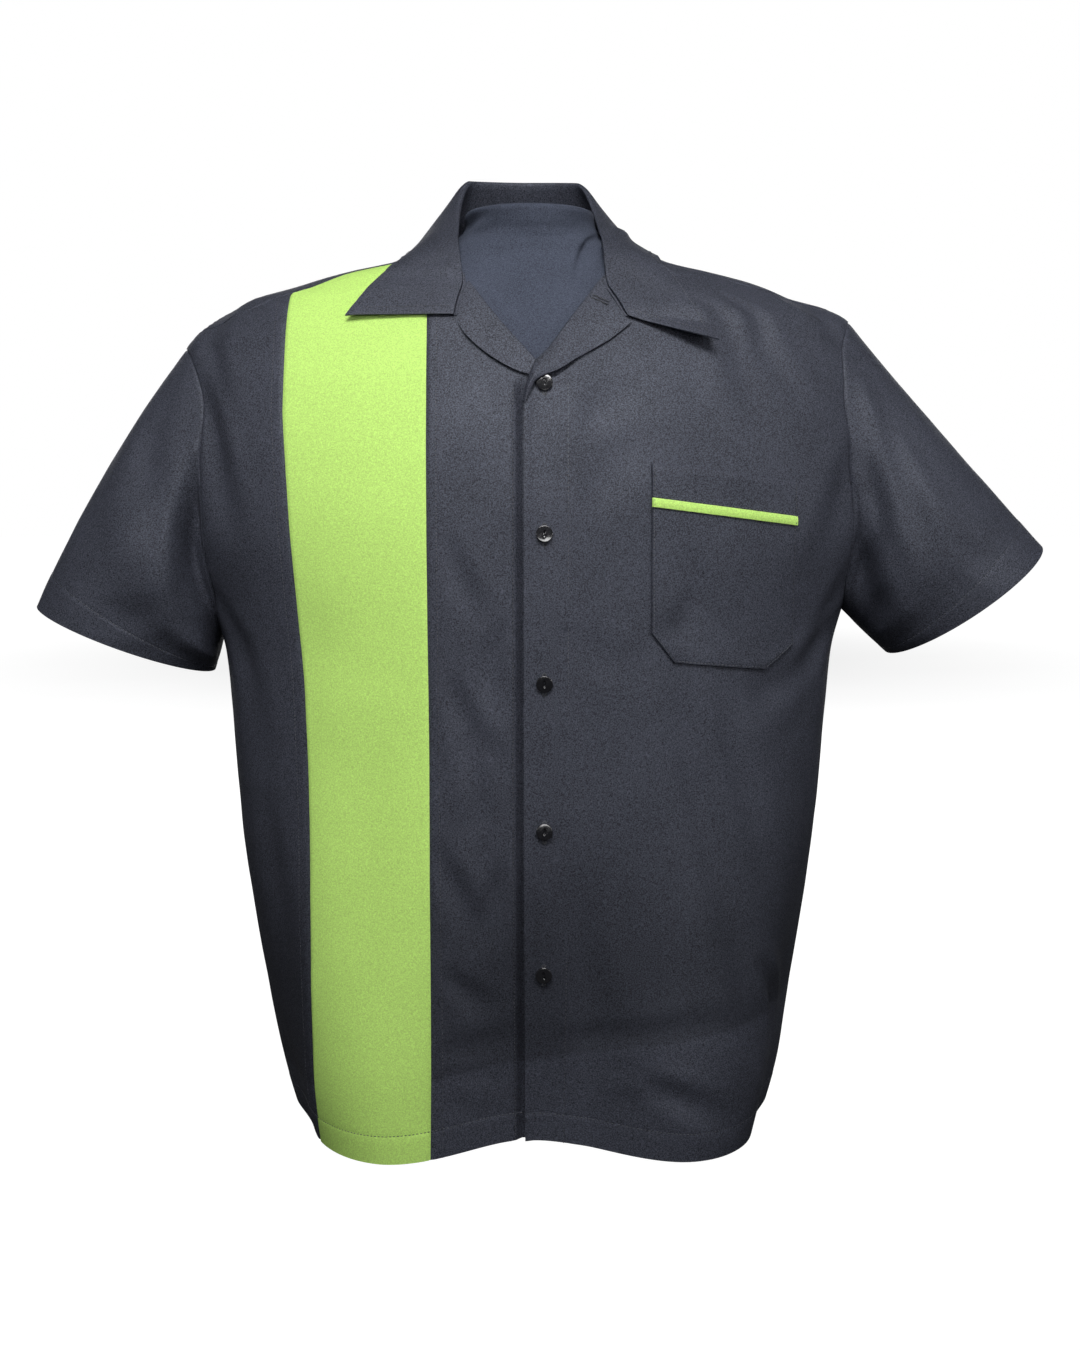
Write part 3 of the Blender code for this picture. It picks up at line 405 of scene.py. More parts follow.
def turn_from_side(height, deep, rear):
    """The turn from the body's side to where the skin is this deep."""
    section, way = ring(height), 1 if rear else -1

    def shallow(turn):
        return np.abs(ring_point(section, QUARTER + way * turn)[..., 1]) < deep

    return halved(np.zeros_like(height), np.full_like(height, QUARTER), shallow)


GIRTH_ANGLES = np.linspace(-QUARTER, 3 * QUARTER, 1441)
_around = ring_point(ring(np.full(1441, 0.35)), GIRTH_ANGLES)
GIRTHS = np.concatenate([[0], np.cumsum(np.linalg.norm(np.diff(_around, axis=0), axis=1))])


def wrapped(angle):
    return (angle + QUARTER) % (4 * QUARTER) - QUARTER


def girth(angle):
    """How far round the body an angle lies, in metres from the wearer's right side."""
    return np.interp(wrapped(angle), GIRTH_ANGLES, GIRTHS)


# ---- creases ----
def on_girth(creases, rear):
    """The creases with their points as (way round, height)."""
    moved = []
    for crease in creases:
        xs, zs = np.array(crease.points).T
        angles = angle_at(xs, zs)
        moved.append(crease._replace(points=np.stack([girth(math.pi - angles if rear else angles), zs], 1)))
    return moved


def crease_line(points):
    """A smooth line through a crease's points."""
    t, fine = np.linspace(0, 1, len(points)), np.linspace(0, 1, 13)
    return np.stack([smooth(t, values, fine) for values in np.array(points).T], 1), fine


def creased(u, v, creases):
    """The rise at places (u, v): each crease is a soft trough with a low ridge either side."""
    total = np.zeros(u.shape)
    place = np.stack([u, v], -1)
    for crease in creases:
        line, shares = crease_line(crease.points)
        reach = 5.0 * crease.width
        low, high = line.min(0) - reach, line.max(0) + reach
        near = (u > low[0]) & (u < high[0]) & (v > low[1]) & (v < high[1])
        if not near.any():
            continue
        spot = place[near]
        best, along = np.full(len(spot), 1e9), np.zeros(len(spot))
        for a, b, ta, tb in zip(line, line[1:], shares, shares[1:]):
            run = b - a
            t = np.clip(((spot - a) @ run) / max(run @ run, 1e-12), 0, 1)
            away = np.linalg.norm(spot - a - t[:, None] * run, axis=1)
            closer = away < best
            best, along = np.where(closer, away, best), np.where(closer, mix(ta, tb, t), along)
        q = best / (crease.width * mix(*CREASE_SPREAD, along))
        profile = np.exp(-q * q) - RIDGE * np.exp(-RIDGE_TIGHT * (q - RIDGE_AWAY) ** 2)
        ends = np.sin(math.pi * np.clip(0.06 + 0.88 * along, 0, 1)) ** 0.7
        total[near] += crease.depth * profile * ends
    return total


def rumpled(points, seed=0.0, strength=1.0):
    """The slight unevenness of worn cloth."""
    flat = points.reshape(-1, 3)
    total = np.zeros(len(flat))
    for size, height, shift in RUMPLE:
        for i, (x, y, z) in enumerate(flat / size):
            total[i] += height * noise.noise((x + shift + seed, y, z * 0.7 - shift))
    return total.reshape(points.shape[:-1]) * strength


BODY_CREASES = on_girth(FRONT_CREASES, False) + on_girth(BACK_CREASES, True)


def hemmed(up):
    """The rise of a turned-up hem at a distance from its edge, with the dip of its stitching."""
    past = up - HEM_DEPTH
    return HEM_DOUBLE * (1 - ease(past / HEM_STEP)) - GROOVE_DEPTH * bell(past / GROOVE_WIDTH)


def cloth(angle, height, out=0.0):
    """The worn shirt's surface, with all that dents it, moved out by a distance."""
    base = skin(angle, height)
    rise = creased(girth(angle), height, BODY_CREASES) + rumpled(base) * ease((height - 0.02) / 0.03)
    rise = rise + hemmed(height - levels(HEM, wrapped(angle)))
    return base + skin_normal(angle, height) * (rise + out)[..., None]


# ---- the panels' outlines ----
def levels(rows, angle):
    return smooth(np.radians(column(rows, "angle")), column(rows, "height"), angle)


def straight(edges, height):
    return np.interp(height, column(edges, "height"), column(edges, "x"))


def from_sides(left, right, angle):
    return mix(left, right, 0.5 + 0.5 * np.sin(angle))


def level(row, angle, top):
    """The height of a panel's row at an angle: 0 hem, 1 armpit, 2 shoulder tip, 3 top."""
    armpit = from_sides(ARMPIT_LEFT, ARMPIT_RIGHT, angle)
    tip = from_sides(TIP_LEFT, TIP_RIGHT, angle)
    below = mix(levels(HEM, wrapped(angle)), armpit, row)
    above = mix(tip, top(angle), row - 2)
    return np.where(row <= 1, below, np.where(row <= 2, mix(armpit, tip, row - 1), above))


def armhole_turn(row, height, rear):
    middle = np.abs(2 * (np.clip(row, 1, 2) - 1) - 1)
    bulge = np.maximum(0.0, 1 - middle ** ARMHOLE_SQUARENESS) ** (1 / ARMHOLE_SQUARENESS)
    return turn_from_side(height, (ARMHOLE_BACK if rear else ARMHOLE_FRONT) * bulge, rear)


def shoulder_turn(side, height):
    return SHOULDER_FORWARD * ease((height - (TIP_RIGHT if side > 0 else TIP_LEFT)) / 0.03)


def front_side(side):
    def edge(row, height):
        arm = np.where(row < 2, armhole_turn(row, height, False), shoulder_turn(side, height))
        return side * (QUARTER - np.where(row <= 1, 0.0, arm))
    return edge


def back_side(side):
    def edge(row, height):
        forward = BACK_FORWARD / SHOULDER_FORWARD * shoulder_turn(side, height)
        arm = np.where(row < 2, armhole_turn(row, height, True), -forward)
        turn = np.where(row <= 1, 0.0, arm)
        return QUARTER + turn if side > 0 else 3 * QUARTER - turn
    return edge


def neck_angle(height):
    return smooth(column(NECK, "height"), np.radians(column(NECK, "angle")), height)


def seam(edges):
    def edge(_row, height):
        return angle_at(straight(edges, height), height)
    return edge


def opening(edges, side):
    def edge(_row, height):
        low = angle_at(straight(edges, height), height)
        high = side * np.maximum(neck_angle(height), np.abs(angle_at(edges[-1].x, height)))
        return np.where(height <= edges[-1].height, low, high)
    return edge


def insert_outer(row, height):
    sewn = seam(INSERT_OUTER)(row, height)
    return np.where(row <= 2, sewn, np.maximum(sewn, front_side(-1)(row, height)))


def insert_inner(row, height):
    sewn = seam(INSERT_INNER)(row, height)
    return np.where(row <= 2, sewn, np.minimum(sewn, -neck_angle(height)))


def settled(edge, row, top):
    angle = edge(row, level(row, np.zeros_like(row), top))
    for _ in range(8):
        angle = edge(row, level(row, angle, top))
    return angle


def lap(x):
    return LAP_RISE * (1 - ease((x - LAP_FULL) / (LAP_END - LAP_FULL)))


def neck_top(angle):
    return levels(NECK, np.abs((angle + 2 * QUARTER) % (4 * QUARTER) - 2 * QUARTER))


def flat_top(height):
    return lambda angle: np.full_like(np.asarray(angle, float), height)


# ---- making meshes ----
def clean_selection():
    bpy.ops.object.select_all(action="DESELECT")


def apply_modifiers(obj):
    clean_selection()
    obj.select_set(True)
    bpy.context.view_layer.objects.active = obj
    for modifier in list(obj.modifiers):
        bpy.ops.object.modifier_apply(modifier=modifier.name)


def mesh_object(name, verts, faces, look):
    mesh = bpy.data.meshes.new(name)
    mesh.from_pydata([tuple(v) for v in verts], [], [tuple(f) for f in faces])
    mesh.materials.append(look)
    obj = bpy.data.objects.new(name, mesh)
    bpy.context.scene.collection.objects.link(obj)
    return obj


def grid_faces(rows, columns, closed=False, flipped=False):
    wide = columns if closed else columns - 1
    i, j = np.meshgrid(np.arange(rows - 1), np.arange(wide), indexing="ij")
    k = (j + 1) % columns
    quads = np.stack([i * columns + j, i * columns + k, (i + 1) * columns + k, (i + 1) * columns + j], -1)
    quads = quads.reshape(-1, 4)
    return quads[:, ::-1] if flipped else quads


def shell(name, grid, look, wall, closed=False, flipped=False):
    """A cloth piece through a grid of points (rows, columns), its wall turned inwards."""
    rows, columns = grid.shape[:2]
    obj = mesh_object(name, grid.reshape(-1, 3), grid_faces(rows, columns, closed, flipped), look)
    built = bmesh.new()
    built.from_mesh(obj.data)
    bmesh.ops.remove_doubles(built, verts=built.verts, dist=0.02 * MM)
    built.to_mesh(obj.data)
    built.free()
    thicken = obj.modifiers.new("Wall", "SOLIDIFY")
    thicken.thickness = wall
    thicken.offset = -1
    apply_modifiers(obj)
    obj.data.shade_smooth()
    obj.data.set_sharp_from_angle(angle=math.radians(60))
    return obj


def placed(obj, node=None):
    """Puts a piece on the body, in place of its solid."""
    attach(obj, "root")
    if node:
        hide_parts(node)
    return obj


def resampled(points, pitch):
    """Even steps along a line of points, the way along it at each, and how far along each lies."""
    steps = np.linalg.norm(np.diff(points, axis=0), axis=1)
    run = np.concatenate([[0], np.cumsum(steps)])
    count = max(2, int(run[-1] / pitch))
    at = (np.arange(count) + 0.5) * run[-1] / count
    ahead, behind = (between(at + aside * pitch, run, points) for aside in (0.3, -0.3))
    return between(at, run, points), unit(ahead - behind), at / run[-1]


def stitch_shape():
    """One stitch, lying along X: its points and faces."""
    clean_selection()
    bpy.ops.mesh.primitive_uv_sphere_add(segments=6, ring_count=5, radius=1.0, rotation=(0, QUARTER, 0))
    ball = bpy.context.object
    turn = ball.matrix_world.to_3x3()
    points = np.array([turn @ v.co for v in ball.data.vertices])
    faces = [tuple(p.vertices) for p in ball.data.polygons]
    bpy.data.objects.remove(ball, do_unlink=True)
    return points, faces


STITCH_POINTS, STITCH_FACES = stitch_shape()


def sewn_line(name, lines, pitch=STITCH_PITCH, radius=STITCH_RADIUS, across=None):
    """Rows of stitches along lines, or across them, each line given as (points, normals)."""
    verts, faces = [], []
    for points, normals in lines:
        centre, along, share = resampled(points, pitch)
        up = unit(between(share, np.linspace(0, 1, len(normals)), normals))
        beside = unit(np.cross(up, along))
        if across:
            along, beside = beside, along
        for c, a, b, n in zip(centre, along, beside, up):
            start = len(verts)
            bent = STITCH_POINTS[:, :1] * a * (across or STITCH_LENGTH) / 2
            bent = bent + STITCH_POINTS[:, 1:2] * b * radius
            bent = bent + (STITCH_POINTS[:, 2:3] * STITCH_FLAT + STITCH_PROUD) * n * radius
            verts.extend(c + bent)
            faces.extend([tuple(start + k for k in face) for face in STITCH_FACES])
    obj = mesh_object(name, verts, faces, BLACK_THREAD)
    obj.data.shade_smooth()
    placed(obj)


# ---- materials ----
# Painted shade on the black cloth above the form's lower edge, standing in for the light that shines through
# the thin cloth below it: the edge's heights at the middle, how much it rises to the wearer's left, and the
# heights over which the painted shade above it fades out.
FORM_EDGE, FORM_EDGE_SLOPE, PAINTED_SHADE_FADE = (0.072, 0.078), 0.15, (0.10, 0.31)
SHEEN_SPAN = 0.08


def fill(tree, target, inputs):
    """Gives a node's inputs their values, or links them to sockets."""
    for key, value in dict(inputs).items():
        if isinstance(value, bpy.types.NodeSocket):
            tree.links.new(value, target.inputs[key])
        else:
            target.inputs[key].default_value = value


def add_node(tree, kind, inputs=(), **settings):
    made = tree.nodes.new(kind)
    for name, value in settings.items():
        setattr(made, name, value)
    fill(tree, made, inputs)
    return made


def number(tree, operation, *values):
    return add_node(tree, "ShaderNodeMath", enumerate(values), operation=operation).outputs[0]


def ranged(tree, value, low, high, first, last, kind="LINEAR"):
    inputs = {"Value": value, "From Min": low, "From Max": high, "To Min": first, "To Max": last}
    return add_node(tree, "ShaderNodeMapRange", inputs, interpolation_type=kind).outputs["Result"]


def multiplied(tree, color, shade):
    inputs = {"Factor": 1.0, "A": color, "B": shade}
    return add_node(tree, "ShaderNodeMix", inputs, data_type="RGBA", blend_type="MULTIPLY").outputs["Result"]


def object_place(tree):
    return add_node(tree, "ShaderNodeTexCoord").outputs["Object"]


def new_look(name, inputs):
    look = bpy.data.materials.new(name)
    look.use_nodes = True
    shader = look.node_tree.nodes["Principled BSDF"]
    fill(look.node_tree, shader, inputs)
    return look, look.node_tree, shader


def crepe_group():
    """Crepe: pebbled yarns of uneven shade, and soft larger patches. Out come a shade and a height."""
    group = bpy.data.node_groups.new("crepe_weave", "ShaderNodeTree")
    face = group.interface
    for label, value in (("Yarn Size", 900), ("Yarn Amount", 1), ("Patch Size", 22), ("Patch Amount", 0.2)):
        socket = face.new_socket(label, in_out="INPUT", socket_type="NodeSocketFloat")
        socket.default_value = value
    face.new_socket("Vector", in_out="INPUT", socket_type="NodeSocketVector")
    for label in ("Shade", "Height"):
        face.new_socket(label, in_out="OUTPUT", socket_type="NodeSocketFloat")
    source, sink = add_node(group, "NodeGroupInput"), add_node(group, "NodeGroupOutput")

    def texture(kind, size, **inputs):
        placing = {"Vector": source.outputs["Vector"], "Scale": source.outputs[size]}
        return add_node(group, kind, {**inputs, **placing})

    def uneven(value, amount):
        return number(group, "MULTIPLY", number(group, "SUBTRACT", value, 0.5), source.outputs[amount])

    yarn = texture("ShaderNodeTexNoise", "Yarn Size", Detail=1.5, Roughness=0.7).outputs["Fac"]
    pebble = texture("ShaderNodeTexVoronoi", "Yarn Size").outputs["Distance"]
    patch = texture("ShaderNodeTexNoise", "Patch Size", Detail=3.0).outputs["Fac"]
    both = number(group, "ADD", uneven(yarn, "Yarn Amount"), uneven(patch, "Patch Amount"))
    fill(group, sink, {"Shade": number(group, "MAXIMUM", number(group, "ADD", both, 1.0), 0.05),
                       "Height": number(group, "MULTIPLY_ADD", pebble, 0.5, yarn)})
    return group


CREPE = crepe_group()


def painted_form_shade(tree, place, amount):
    """A painted shade factor: 1, and less where the dark form stands close behind the thin cloth and keeps
    light from shining through it.
    """
    parts = add_node(tree, "ShaderNodeSeparateXYZ", {0: place}).outputs
    level = number(tree, "MULTIPLY_ADD", parts["X"], -FORM_EDGE_SLOPE, parts["Z"])
    above = ranged(tree, level, *FORM_EDGE, 0.0, 1.0, "SMOOTHSTEP")
    close = ranged(tree, parts["Z"], *PAINTED_SHADE_FADE, amount, 0.0, "SMOOTHSTEP")
    return number(tree, "SUBTRACT", 1.0, number(tree, "MULTIPLY", above, close))


def cloth_look(name, color, roughness, specular, tint, yarn, specks, patches, bump, painted_shade_amount=0.0):
    sheen = {"Specular IOR Level": specular, "IOR": 1.5, "Specular Tint": (*tint, 1.0)}
    look, tree, shader = new_look(name, sheen)
    place = object_place(tree)
    weaving = {"Yarn Size": yarn, "Yarn Amount": specks, "Patch Amount": patches, "Vector": place}
    weave = add_node(tree, "ShaderNodeGroup", weaving, node_tree=CREPE).outputs
    dyed_and_shaded = multiplied(tree, (*color, 1.0), weave["Shade"])
    # Painted shade: the cloth's colour is darkened above the form's lower edge, where less light shines
    # through it.
    if painted_shade_amount:
        dyed_and_shaded = multiplied(tree, dyed_and_shaded, painted_form_shade(tree, place, painted_shade_amount))
    bumps = {"Strength": 1.0, "Distance": bump * MM, "Height": weave["Height"]}
    raised = add_node(tree, "ShaderNodeBump", bumps)
    rough = ranged(tree, weave["Shade"], 0.6, 1.4, roughness + SHEEN_SPAN, roughness - SHEEN_SPAN)
    fill(tree, shader, {"Base Color": dyed_and_shaded, "Roughness": rough, "Normal": raised.outputs["Normal"]})
    return look


def plain_look(name, color, roughness, specular, coat=0.0):
    look, tree, shader = new_look(name, {"Roughness": roughness, "Specular IOR Level": specular,
                                         "Coat Weight": coat, "Coat Roughness": 0.06})
    placing = {"Scale": 260.0, "Detail": 3.0, "Vector": object_place(tree)}
    cloud = add_node(tree, "ShaderNodeTexNoise", placing)
    ramp = add_node(tree, "ShaderNodeValToRGB", {"Fac": cloud.outputs["Fac"]})
    for stop, share in zip(ramp.color_ramp.elements, (0.7, 1.35)):
        stop.color = (*[min(1.0, c * share) for c in color], 1)
    fill(tree, shader, {"Base Color": ramp.outputs["Color"]})
    return look


# The black crepe carries painted shade above the form's lower edge.
BLACK = cloth_look("black_crepe", (0.0400, 0.0428, 0.0575), 0.62, 0.38, (0.85, 0.90, 1.0),
                   yarn=1150.0, specks=4.2, patches=0.50, bump=0.12, painted_shade_amount=0.34)
GREEN = cloth_look("lime_crepe", (0.50, 0.765, 0.182), 0.75, 0.2, (0.9, 1.0, 0.7),
                   yarn=1050.0, specks=0.9, patches=0.08, bump=0.10)
COVER = cloth_look("form_jersey", (0.052, 0.060, 0.085), 0.85, 0.3, (0.8, 0.85, 1.0),
                   yarn=1400.0, specks=2.4, patches=0.4, bump=0.08)
BLACK_THREAD = plain_look("black_thread", (0.046, 0.049, 0.060), 0.42, 0.7)
RESIN = plain_look("black_resin", (0.010, 0.010, 0.012), 0.14, 0.9, 0.6)


# ---- body panels ----
# Rows and columns that lie close together where an edge or a seam bends the cloth, in millimetres from it.
ROWS_HEM = (0.0, 0.6, 1.8, 5.0, 9.0, 13.0, 17.0, 18.6, 19.4, 20.0, 20.6, 21.6, 24.0, 28.0)
NEAR_EDGE = (0.0, 0.5, 1.1, 2.2, 3.8, 5.4, 6.2, 7.0, 7.8, 8.8, 11.0)
NEAR_FOLD = (0.0, 0.3, 0.6, 1.1, 2.0, 3.2)
ROWS_CUFF = (0, 0.6, 2, 5, 9, 13, 17, 18.6, 19.4, 20, 20.6, 21.6, 24)
ROWS_SEAM = (-2.2, 0, 0.5, 1.2, 2.4)
BELOW_SPAN = 0.360
ROWS_BELOW, ROWS_ARM, ROWS_ABOVE, ARMHOLE_HALF = 84, 61, 31, 85


def panel_rows(corner=None):
    hem = [mm * MM / BELOW_SPAN for mm in ROWS_HEM]
    below = list(np.linspace(hem[-1], 1, ROWS_BELOW)[1:-1])
    arm = list(1 + (0.5 - 0.5 * np.cos(np.linspace(0, math.pi, ROWS_ARM))))
    above = list(2 + np.linspace(0, 1, ROWS_ABOVE)[1:])
    return np.array(sorted(hem + below + arm + above + ([corner] if corner else [])))


def row_at(height, angle, top):
    tip = from_sides(TIP_LEFT, TIP_RIGHT, angle)
    return float(2 + (height - tip) / (top(angle) - tip))


def panel(name, node, start, end, columns, top, rise=None, corner=None, dip=SEAM_DIP, look=BLACK):
    """A body panel between two boundaries, with close columns along both."""
    row = panel_rows(corner)
    first, last = (settled(edge, row, top)[:, None] for edge in (start, end))
    angle = mix(first, last, np.linspace(0, 1, 25))
    sample = skin(angle, level(row[:, None], angle, top))
    width = np.linalg.norm(np.diff(sample, axis=1), axis=2).sum(1)[:, None]
    near = np.array(NEAR_EDGE) * MM
    edge_share = np.minimum(near / np.maximum(width, 1e-6), 0.5 * near / near[-1])
    inner = np.linspace(0, 1, columns)[1:-1]
    middle = mix(edge_share[:, -1:], 1 - edge_share[:, -1:], inner)
    share = np.concatenate([edge_share, middle, 1 - edge_share[:, ::-1]], axis=1)
    angle = mix(first, last, share)
    height = level(row[:, None], angle, top)
    out = -dip * np.exp(-(share * width / SEAM_ROUND) ** 2)
    out = out - SEAM_DIP * np.exp(-((1 - share) * width / SEAM_ROUND) ** 2)
    if rise:
        out = out + rise(angle, height)
    return placed(shell(name, cloth(angle, height, out), look, WALL), node)


def groove(x, x_line):
    """A shallow trough along a line of topstitching."""
    return -GROOVE_DEPTH * bell((x - x_line) / GROOVE_WIDTH)


def lapped(angle, height):
    """The placket's lap over the right front, its soft fold and its topstitching."""
    x = skin(angle, height)[..., 0]
    fold = PLACKET_LIFT * np.exp(-((x - straight(PLACKET, height)) / PLACKET_SOFT) ** 2)
    fold = fold * ease((PLACKET_TOP - height) / PLACKET_FADE)
    return lap(x) + fold + groove(x, FACING_X) * (height < PLACKET_TOP)


def under_lap(angle, height):
    """The valley beside the placket's fold, and the topstitching of the underlap."""
    x = skin(angle, height)[..., 0]
    away = x - straight(PLACKET, height) + VALLEY_ASIDE
    valley = PLACKET_VALLEY * np.exp(-(away / VALLEY_WIDTH) ** 2)
    valley = valley * ease((PLACKET_TOP - height) / PLACKET_FADE)
    return groove(x, UNDERLAP_STITCH_X) * (height < UNDERLAP_TOP) - valley


def over_shoulder(angle, _height):
    """The back laps the fronts along the shoulder seams."""
    return SHOULDER_LAYER * ease(np.cos(angle) / 0.08)


def build_body():
    insert_top = flat_top(INSERT_TOP)
    corner = row_at(SIDE_TOP, angle_at(INSERT_OUTER[-1].x, SIDE_TOP), insert_top)
    sheets = (
        (panel("shirt_back", "back", back_side(1), back_side(-1), 110, neck_top, over_shoulder,
               row_at(SIDE_TOP, -QUARTER, neck_top)), (0.58, 0.72), 0.36),
        (panel("right_front_side", "front_right_side", front_side(-1), seam(INSERT_OUTER), 22,
               flat_top(SIDE_TOP)), (0.13, 0.65), 0.066),
        (panel("right_front_insert", "front_right_insert", insert_outer, insert_inner, 20, insert_top,
               corner=corner, look=GREEN), (0.12, 0.70), 0.067),
        (panel("right_front_centre", "front_right_centre", seam(INSERT_INNER), opening(UNDERLAP, -1), 46,
               flat_top(CENTRE_TOP), under_lap), (0.10, 0.69), 0.055),
        (panel("left_front", "front_left", opening(PLACKET, 1), front_side(1), 62, flat_top(FRONT_TOP),
               lapped, dip=PLACKET_DIP), (0.31, 0.70), 0.177),
    )


# ---- sleeves ----
def armhole_ring(side):
    """The angles and heights round an armhole, up its front half and down its back half."""
    shares = 0.5 - 0.5 * np.cos(np.linspace(0, math.pi, ARMHOLE_HALF))
    parts = []
    for way, run in ((-1, shares), (1, shares[-2:0:-1])):
        row = 1 + run
        angle = np.full_like(row, side * QUARTER)
        for _ in range(8):
            turn = armhole_turn(row, level(row, angle, neck_top), way > 0)
            angle = side * (QUARTER + way * turn)
        parts.append((angle, level(row, angle, neck_top)))
    return [np.concatenate(values) for values in zip(*parts)]


def cuff_ring(sleeve, count):
    inner = np.array((sleeve.inner_x, 0, sleeve.inner_z))
    outer = np.array((sleeve.outer_x, 0, sleeve.outer_z))
    centre, chord = (inner + outer) / 2, (outer - inner) / 2
    mouth = unit(np.array((-chord[2], 0, chord[0]))) * -sleeve.side
    forward = np.array((0, -math.cos(sleeve.tilt), 0)) + mouth * math.sin(sleeve.tilt)
    turn = 2 * math.pi * np.arange(count)[:, None] / count
    return centre - chord * np.cos(turn) + forward * sleeve.depth * np.sin(turn)


def sleeve_surface(sleeve, shares):
    """Points of a sleeve, for shares of its length (rows) round its whole ring (columns)."""
    angle, height = armhole_ring(sleeve.side)
    start = cloth(angle, height, -SEAM_DIP)
    count = len(start)
    end = cuff_ring(sleeve, count)
    share = np.asarray(shares)[:, None]
    turn = 360 * np.arange(count) / count
    around = np.radians(turn)
    middle = mix(start.mean(0), end.mean(0), share[..., None])
    points = mix(start, end, share[..., None])
    crown = np.array((sleeve.side * CROWN_OUT, 0, CROWN_UP)) * sleeve.crown
    points = points + crown * (4 * share * (1 - share) * np.maximum(0, -np.cos(around)))[..., None]
    stand = np.abs(np.sin(around)) * SLEEVE_FULL * np.sin(math.pi * share)
    for fold in SLEEVE_FOLDS:
        swell = bell((turn - fold.around) / (2 * fold.around_width))
        stand = stand + fold.depth * swell * bell((share - fold.along) / fold.along_width)
    stand = stand * ((share > 0) & (share < 1))
    out, up = np.abs(points[..., 0]), points[..., 2]
    facing = 1.5 * np.sin(around)
    dents = creased(out, up, LEFT_SLEEVE_CREASES if sleeve.side > 0 else RIGHT_SLEEVE_CREASES) * ease(facing)
    dents = dents + creased(out, up, SLEEVE_BACK_CREASES) * ease(-facing)
    dents = dents * faded(share, 0.05, 0.06)
    proud = SEAM_DIP * (1 - np.exp(-(share * SLEEVE_RUN / SEAM_ROUND) ** 2))
    uneven = rumpled(points, 5.0) * faded(share, 0.1, 0.08)
    total = stand + dents + hemmed((1 - share) * SLEEVE_RUN) + proud + uneven
    return points + unit(points - middle) * np.where(share < 0, TUCK * SLEEVE_RUN * share, total)[..., None]


def build_sleeve(name, node, sleeve):
    """Builds a sleeve, and gives the line of its cuff's stitches."""
    near = [1 - mm * MM / SLEEVE_RUN for mm in ROWS_CUFF] + [mm * MM / SLEEVE_RUN for mm in ROWS_SEAM]
    grid = sleeve_surface(sleeve, sorted(near + list(np.linspace(0.03, 0.84, 52))))
    obj = placed(shell(name, grid, BLACK, WALL, closed=True, flipped=sleeve.side > 0), node)
    line = sleeve_surface(sleeve, [1 - (HEM_DEPTH + mm * MM) / SLEEVE_RUN for mm in (0.4, -0.4)]).mean(0)
    path = np.concatenate([line, line[:1]])
    return path, unit(path - path.mean(0))


# ---- collar and lapels ----
def skin_distance(point):
    """How far off the skin points lie, and the way out there."""
    def value(p):
        section = ring(p[..., 2])
        side, depth = reach(section, p[..., 0], p[..., 1])
        power = section.squareness
        return ((np.abs(p[..., 0]) / side) ** power + (np.abs(p[..., 1]) / depth) ** power) ** (1 / power) - 1

    step = 0.1 * MM
    here = value(point)
    rise = np.stack([value(point + np.eye(3)[k] * step) - here for k in range(3)], -1) / step
    size = np.linalg.norm(rise, axis=-1)
    return here / size, rise / size[..., None]


def kept_off(point, gap):
    for _ in range(4):
        distance, way = skin_distance(point)
        point = point + way * np.maximum(0, gap - distance)[..., None]
    return point


def above_neck(point):
    side, depth = reach(ring(point[..., 2]), point[..., 0], point[..., 1])
    return point[..., 2] - levels(NECK, np.arctan2(np.abs(point[..., 0]) / side, -point[..., 1] / depth))


def collar_line(station):
    """A station's line from the neck seam over the roll to the outer edge."""
    neck, edge = np.array(station.neck), np.array(station.edge)
    if station.roll:
        roll = np.array(station.roll)
        away = unit(np.array((edge[0] - roll[0], edge[1] - roll[1], 0)))
        line = [mix(neck, roll, i / STAND_STEPS) for i in range(STAND_STEPS + 1)]
        line += [roll + (away * out + np.array((0, 0, up))) * station.turn
                 for out, up in (FOLD_NEAR, FOLD_FAR)]
    else:
        away = unit(edge - neck)
        line = [neck + away * FLAT_STEP * i for i in range(STAND_STEPS + 3)]
    start = line[-1]
    for i in range(1, FALL_STEPS + 1):
        share = i / FALL_STEPS
        bulge = FALL_BULGE * station.turn / TURN_FULL * 4 * share * (1 - share)
        line.append(mix(start, edge, share) + (away * BULGE_OUT + np.array((0, 0, BULGE_UP))) * bulge)
    return np.array(line)


def collar_surface(places, steps):
    """Points of the collar: round it by place, and from the neck seam to the outer edge by step."""
    lines = np.array([collar_line(station) for station in COLLAR])
    keys, numbers = np.arange(len(lines)), np.arange(lines.shape[1])
    across = np.stack([[smooth(keys, lines[:, n, k], places) for k in range(3)] for n in numbers])
    grid = np.stack([np.stack([smooth(numbers, across[:, k, p], steps) for k in range(3)], -1)
                     for p in range(len(places))], 1)
    step = np.asarray(steps)[:, None]
    lift = smooth(keys, column(COLLAR, "lift"), places) * mix(FALL_SHARE, 1, ease((step - 6) / 3))
    gap = COLLAR_GAP + np.where(step <= STAND_STEPS, COLLAR_LIFT, lift)
    push = np.where(step == 0, 1.0, 1 - ease(above_neck(grid) / NECK_FADE))
    return mix(grid, kept_off(grid, gap), push[..., None])


def build_collar():
    outer = COLLAR_END - np.array((0, 0.03, 0.07, 0.14))
    stand, fall = np.linspace(0, FALL_START, 16), np.linspace(FALL_START, 8.8, 26)
    steps = np.unique(np.concatenate([stand, fall, outer]))
    grid = collar_surface(np.linspace(0, len(COLLAR) - 1, 197), steps)
    obj = placed(shell("camp_collar", grid, BLACK, COLLAR_WALL), "collar")


def lapel_grid(turns, side, share):
    at = np.linspace(0, len(turns) - 1, 40)[:, None]
    keys = np.arange(len(turns))
    roll_x, roll_z, edge_x, edge_z, lift = (smooth(keys, column(turns, name), at) for name in Turn._fields)
    notch = NOTCH_BEND * bell((share - NOTCH_SHARE) / NOTCH_SHARE) * ease(at - (len(turns) - 2))
    x = mix(roll_x, edge_x, share) - side * notch
    return x, mix(roll_z, edge_z, share), LAYER + lift + lap(x) * (side > 0)


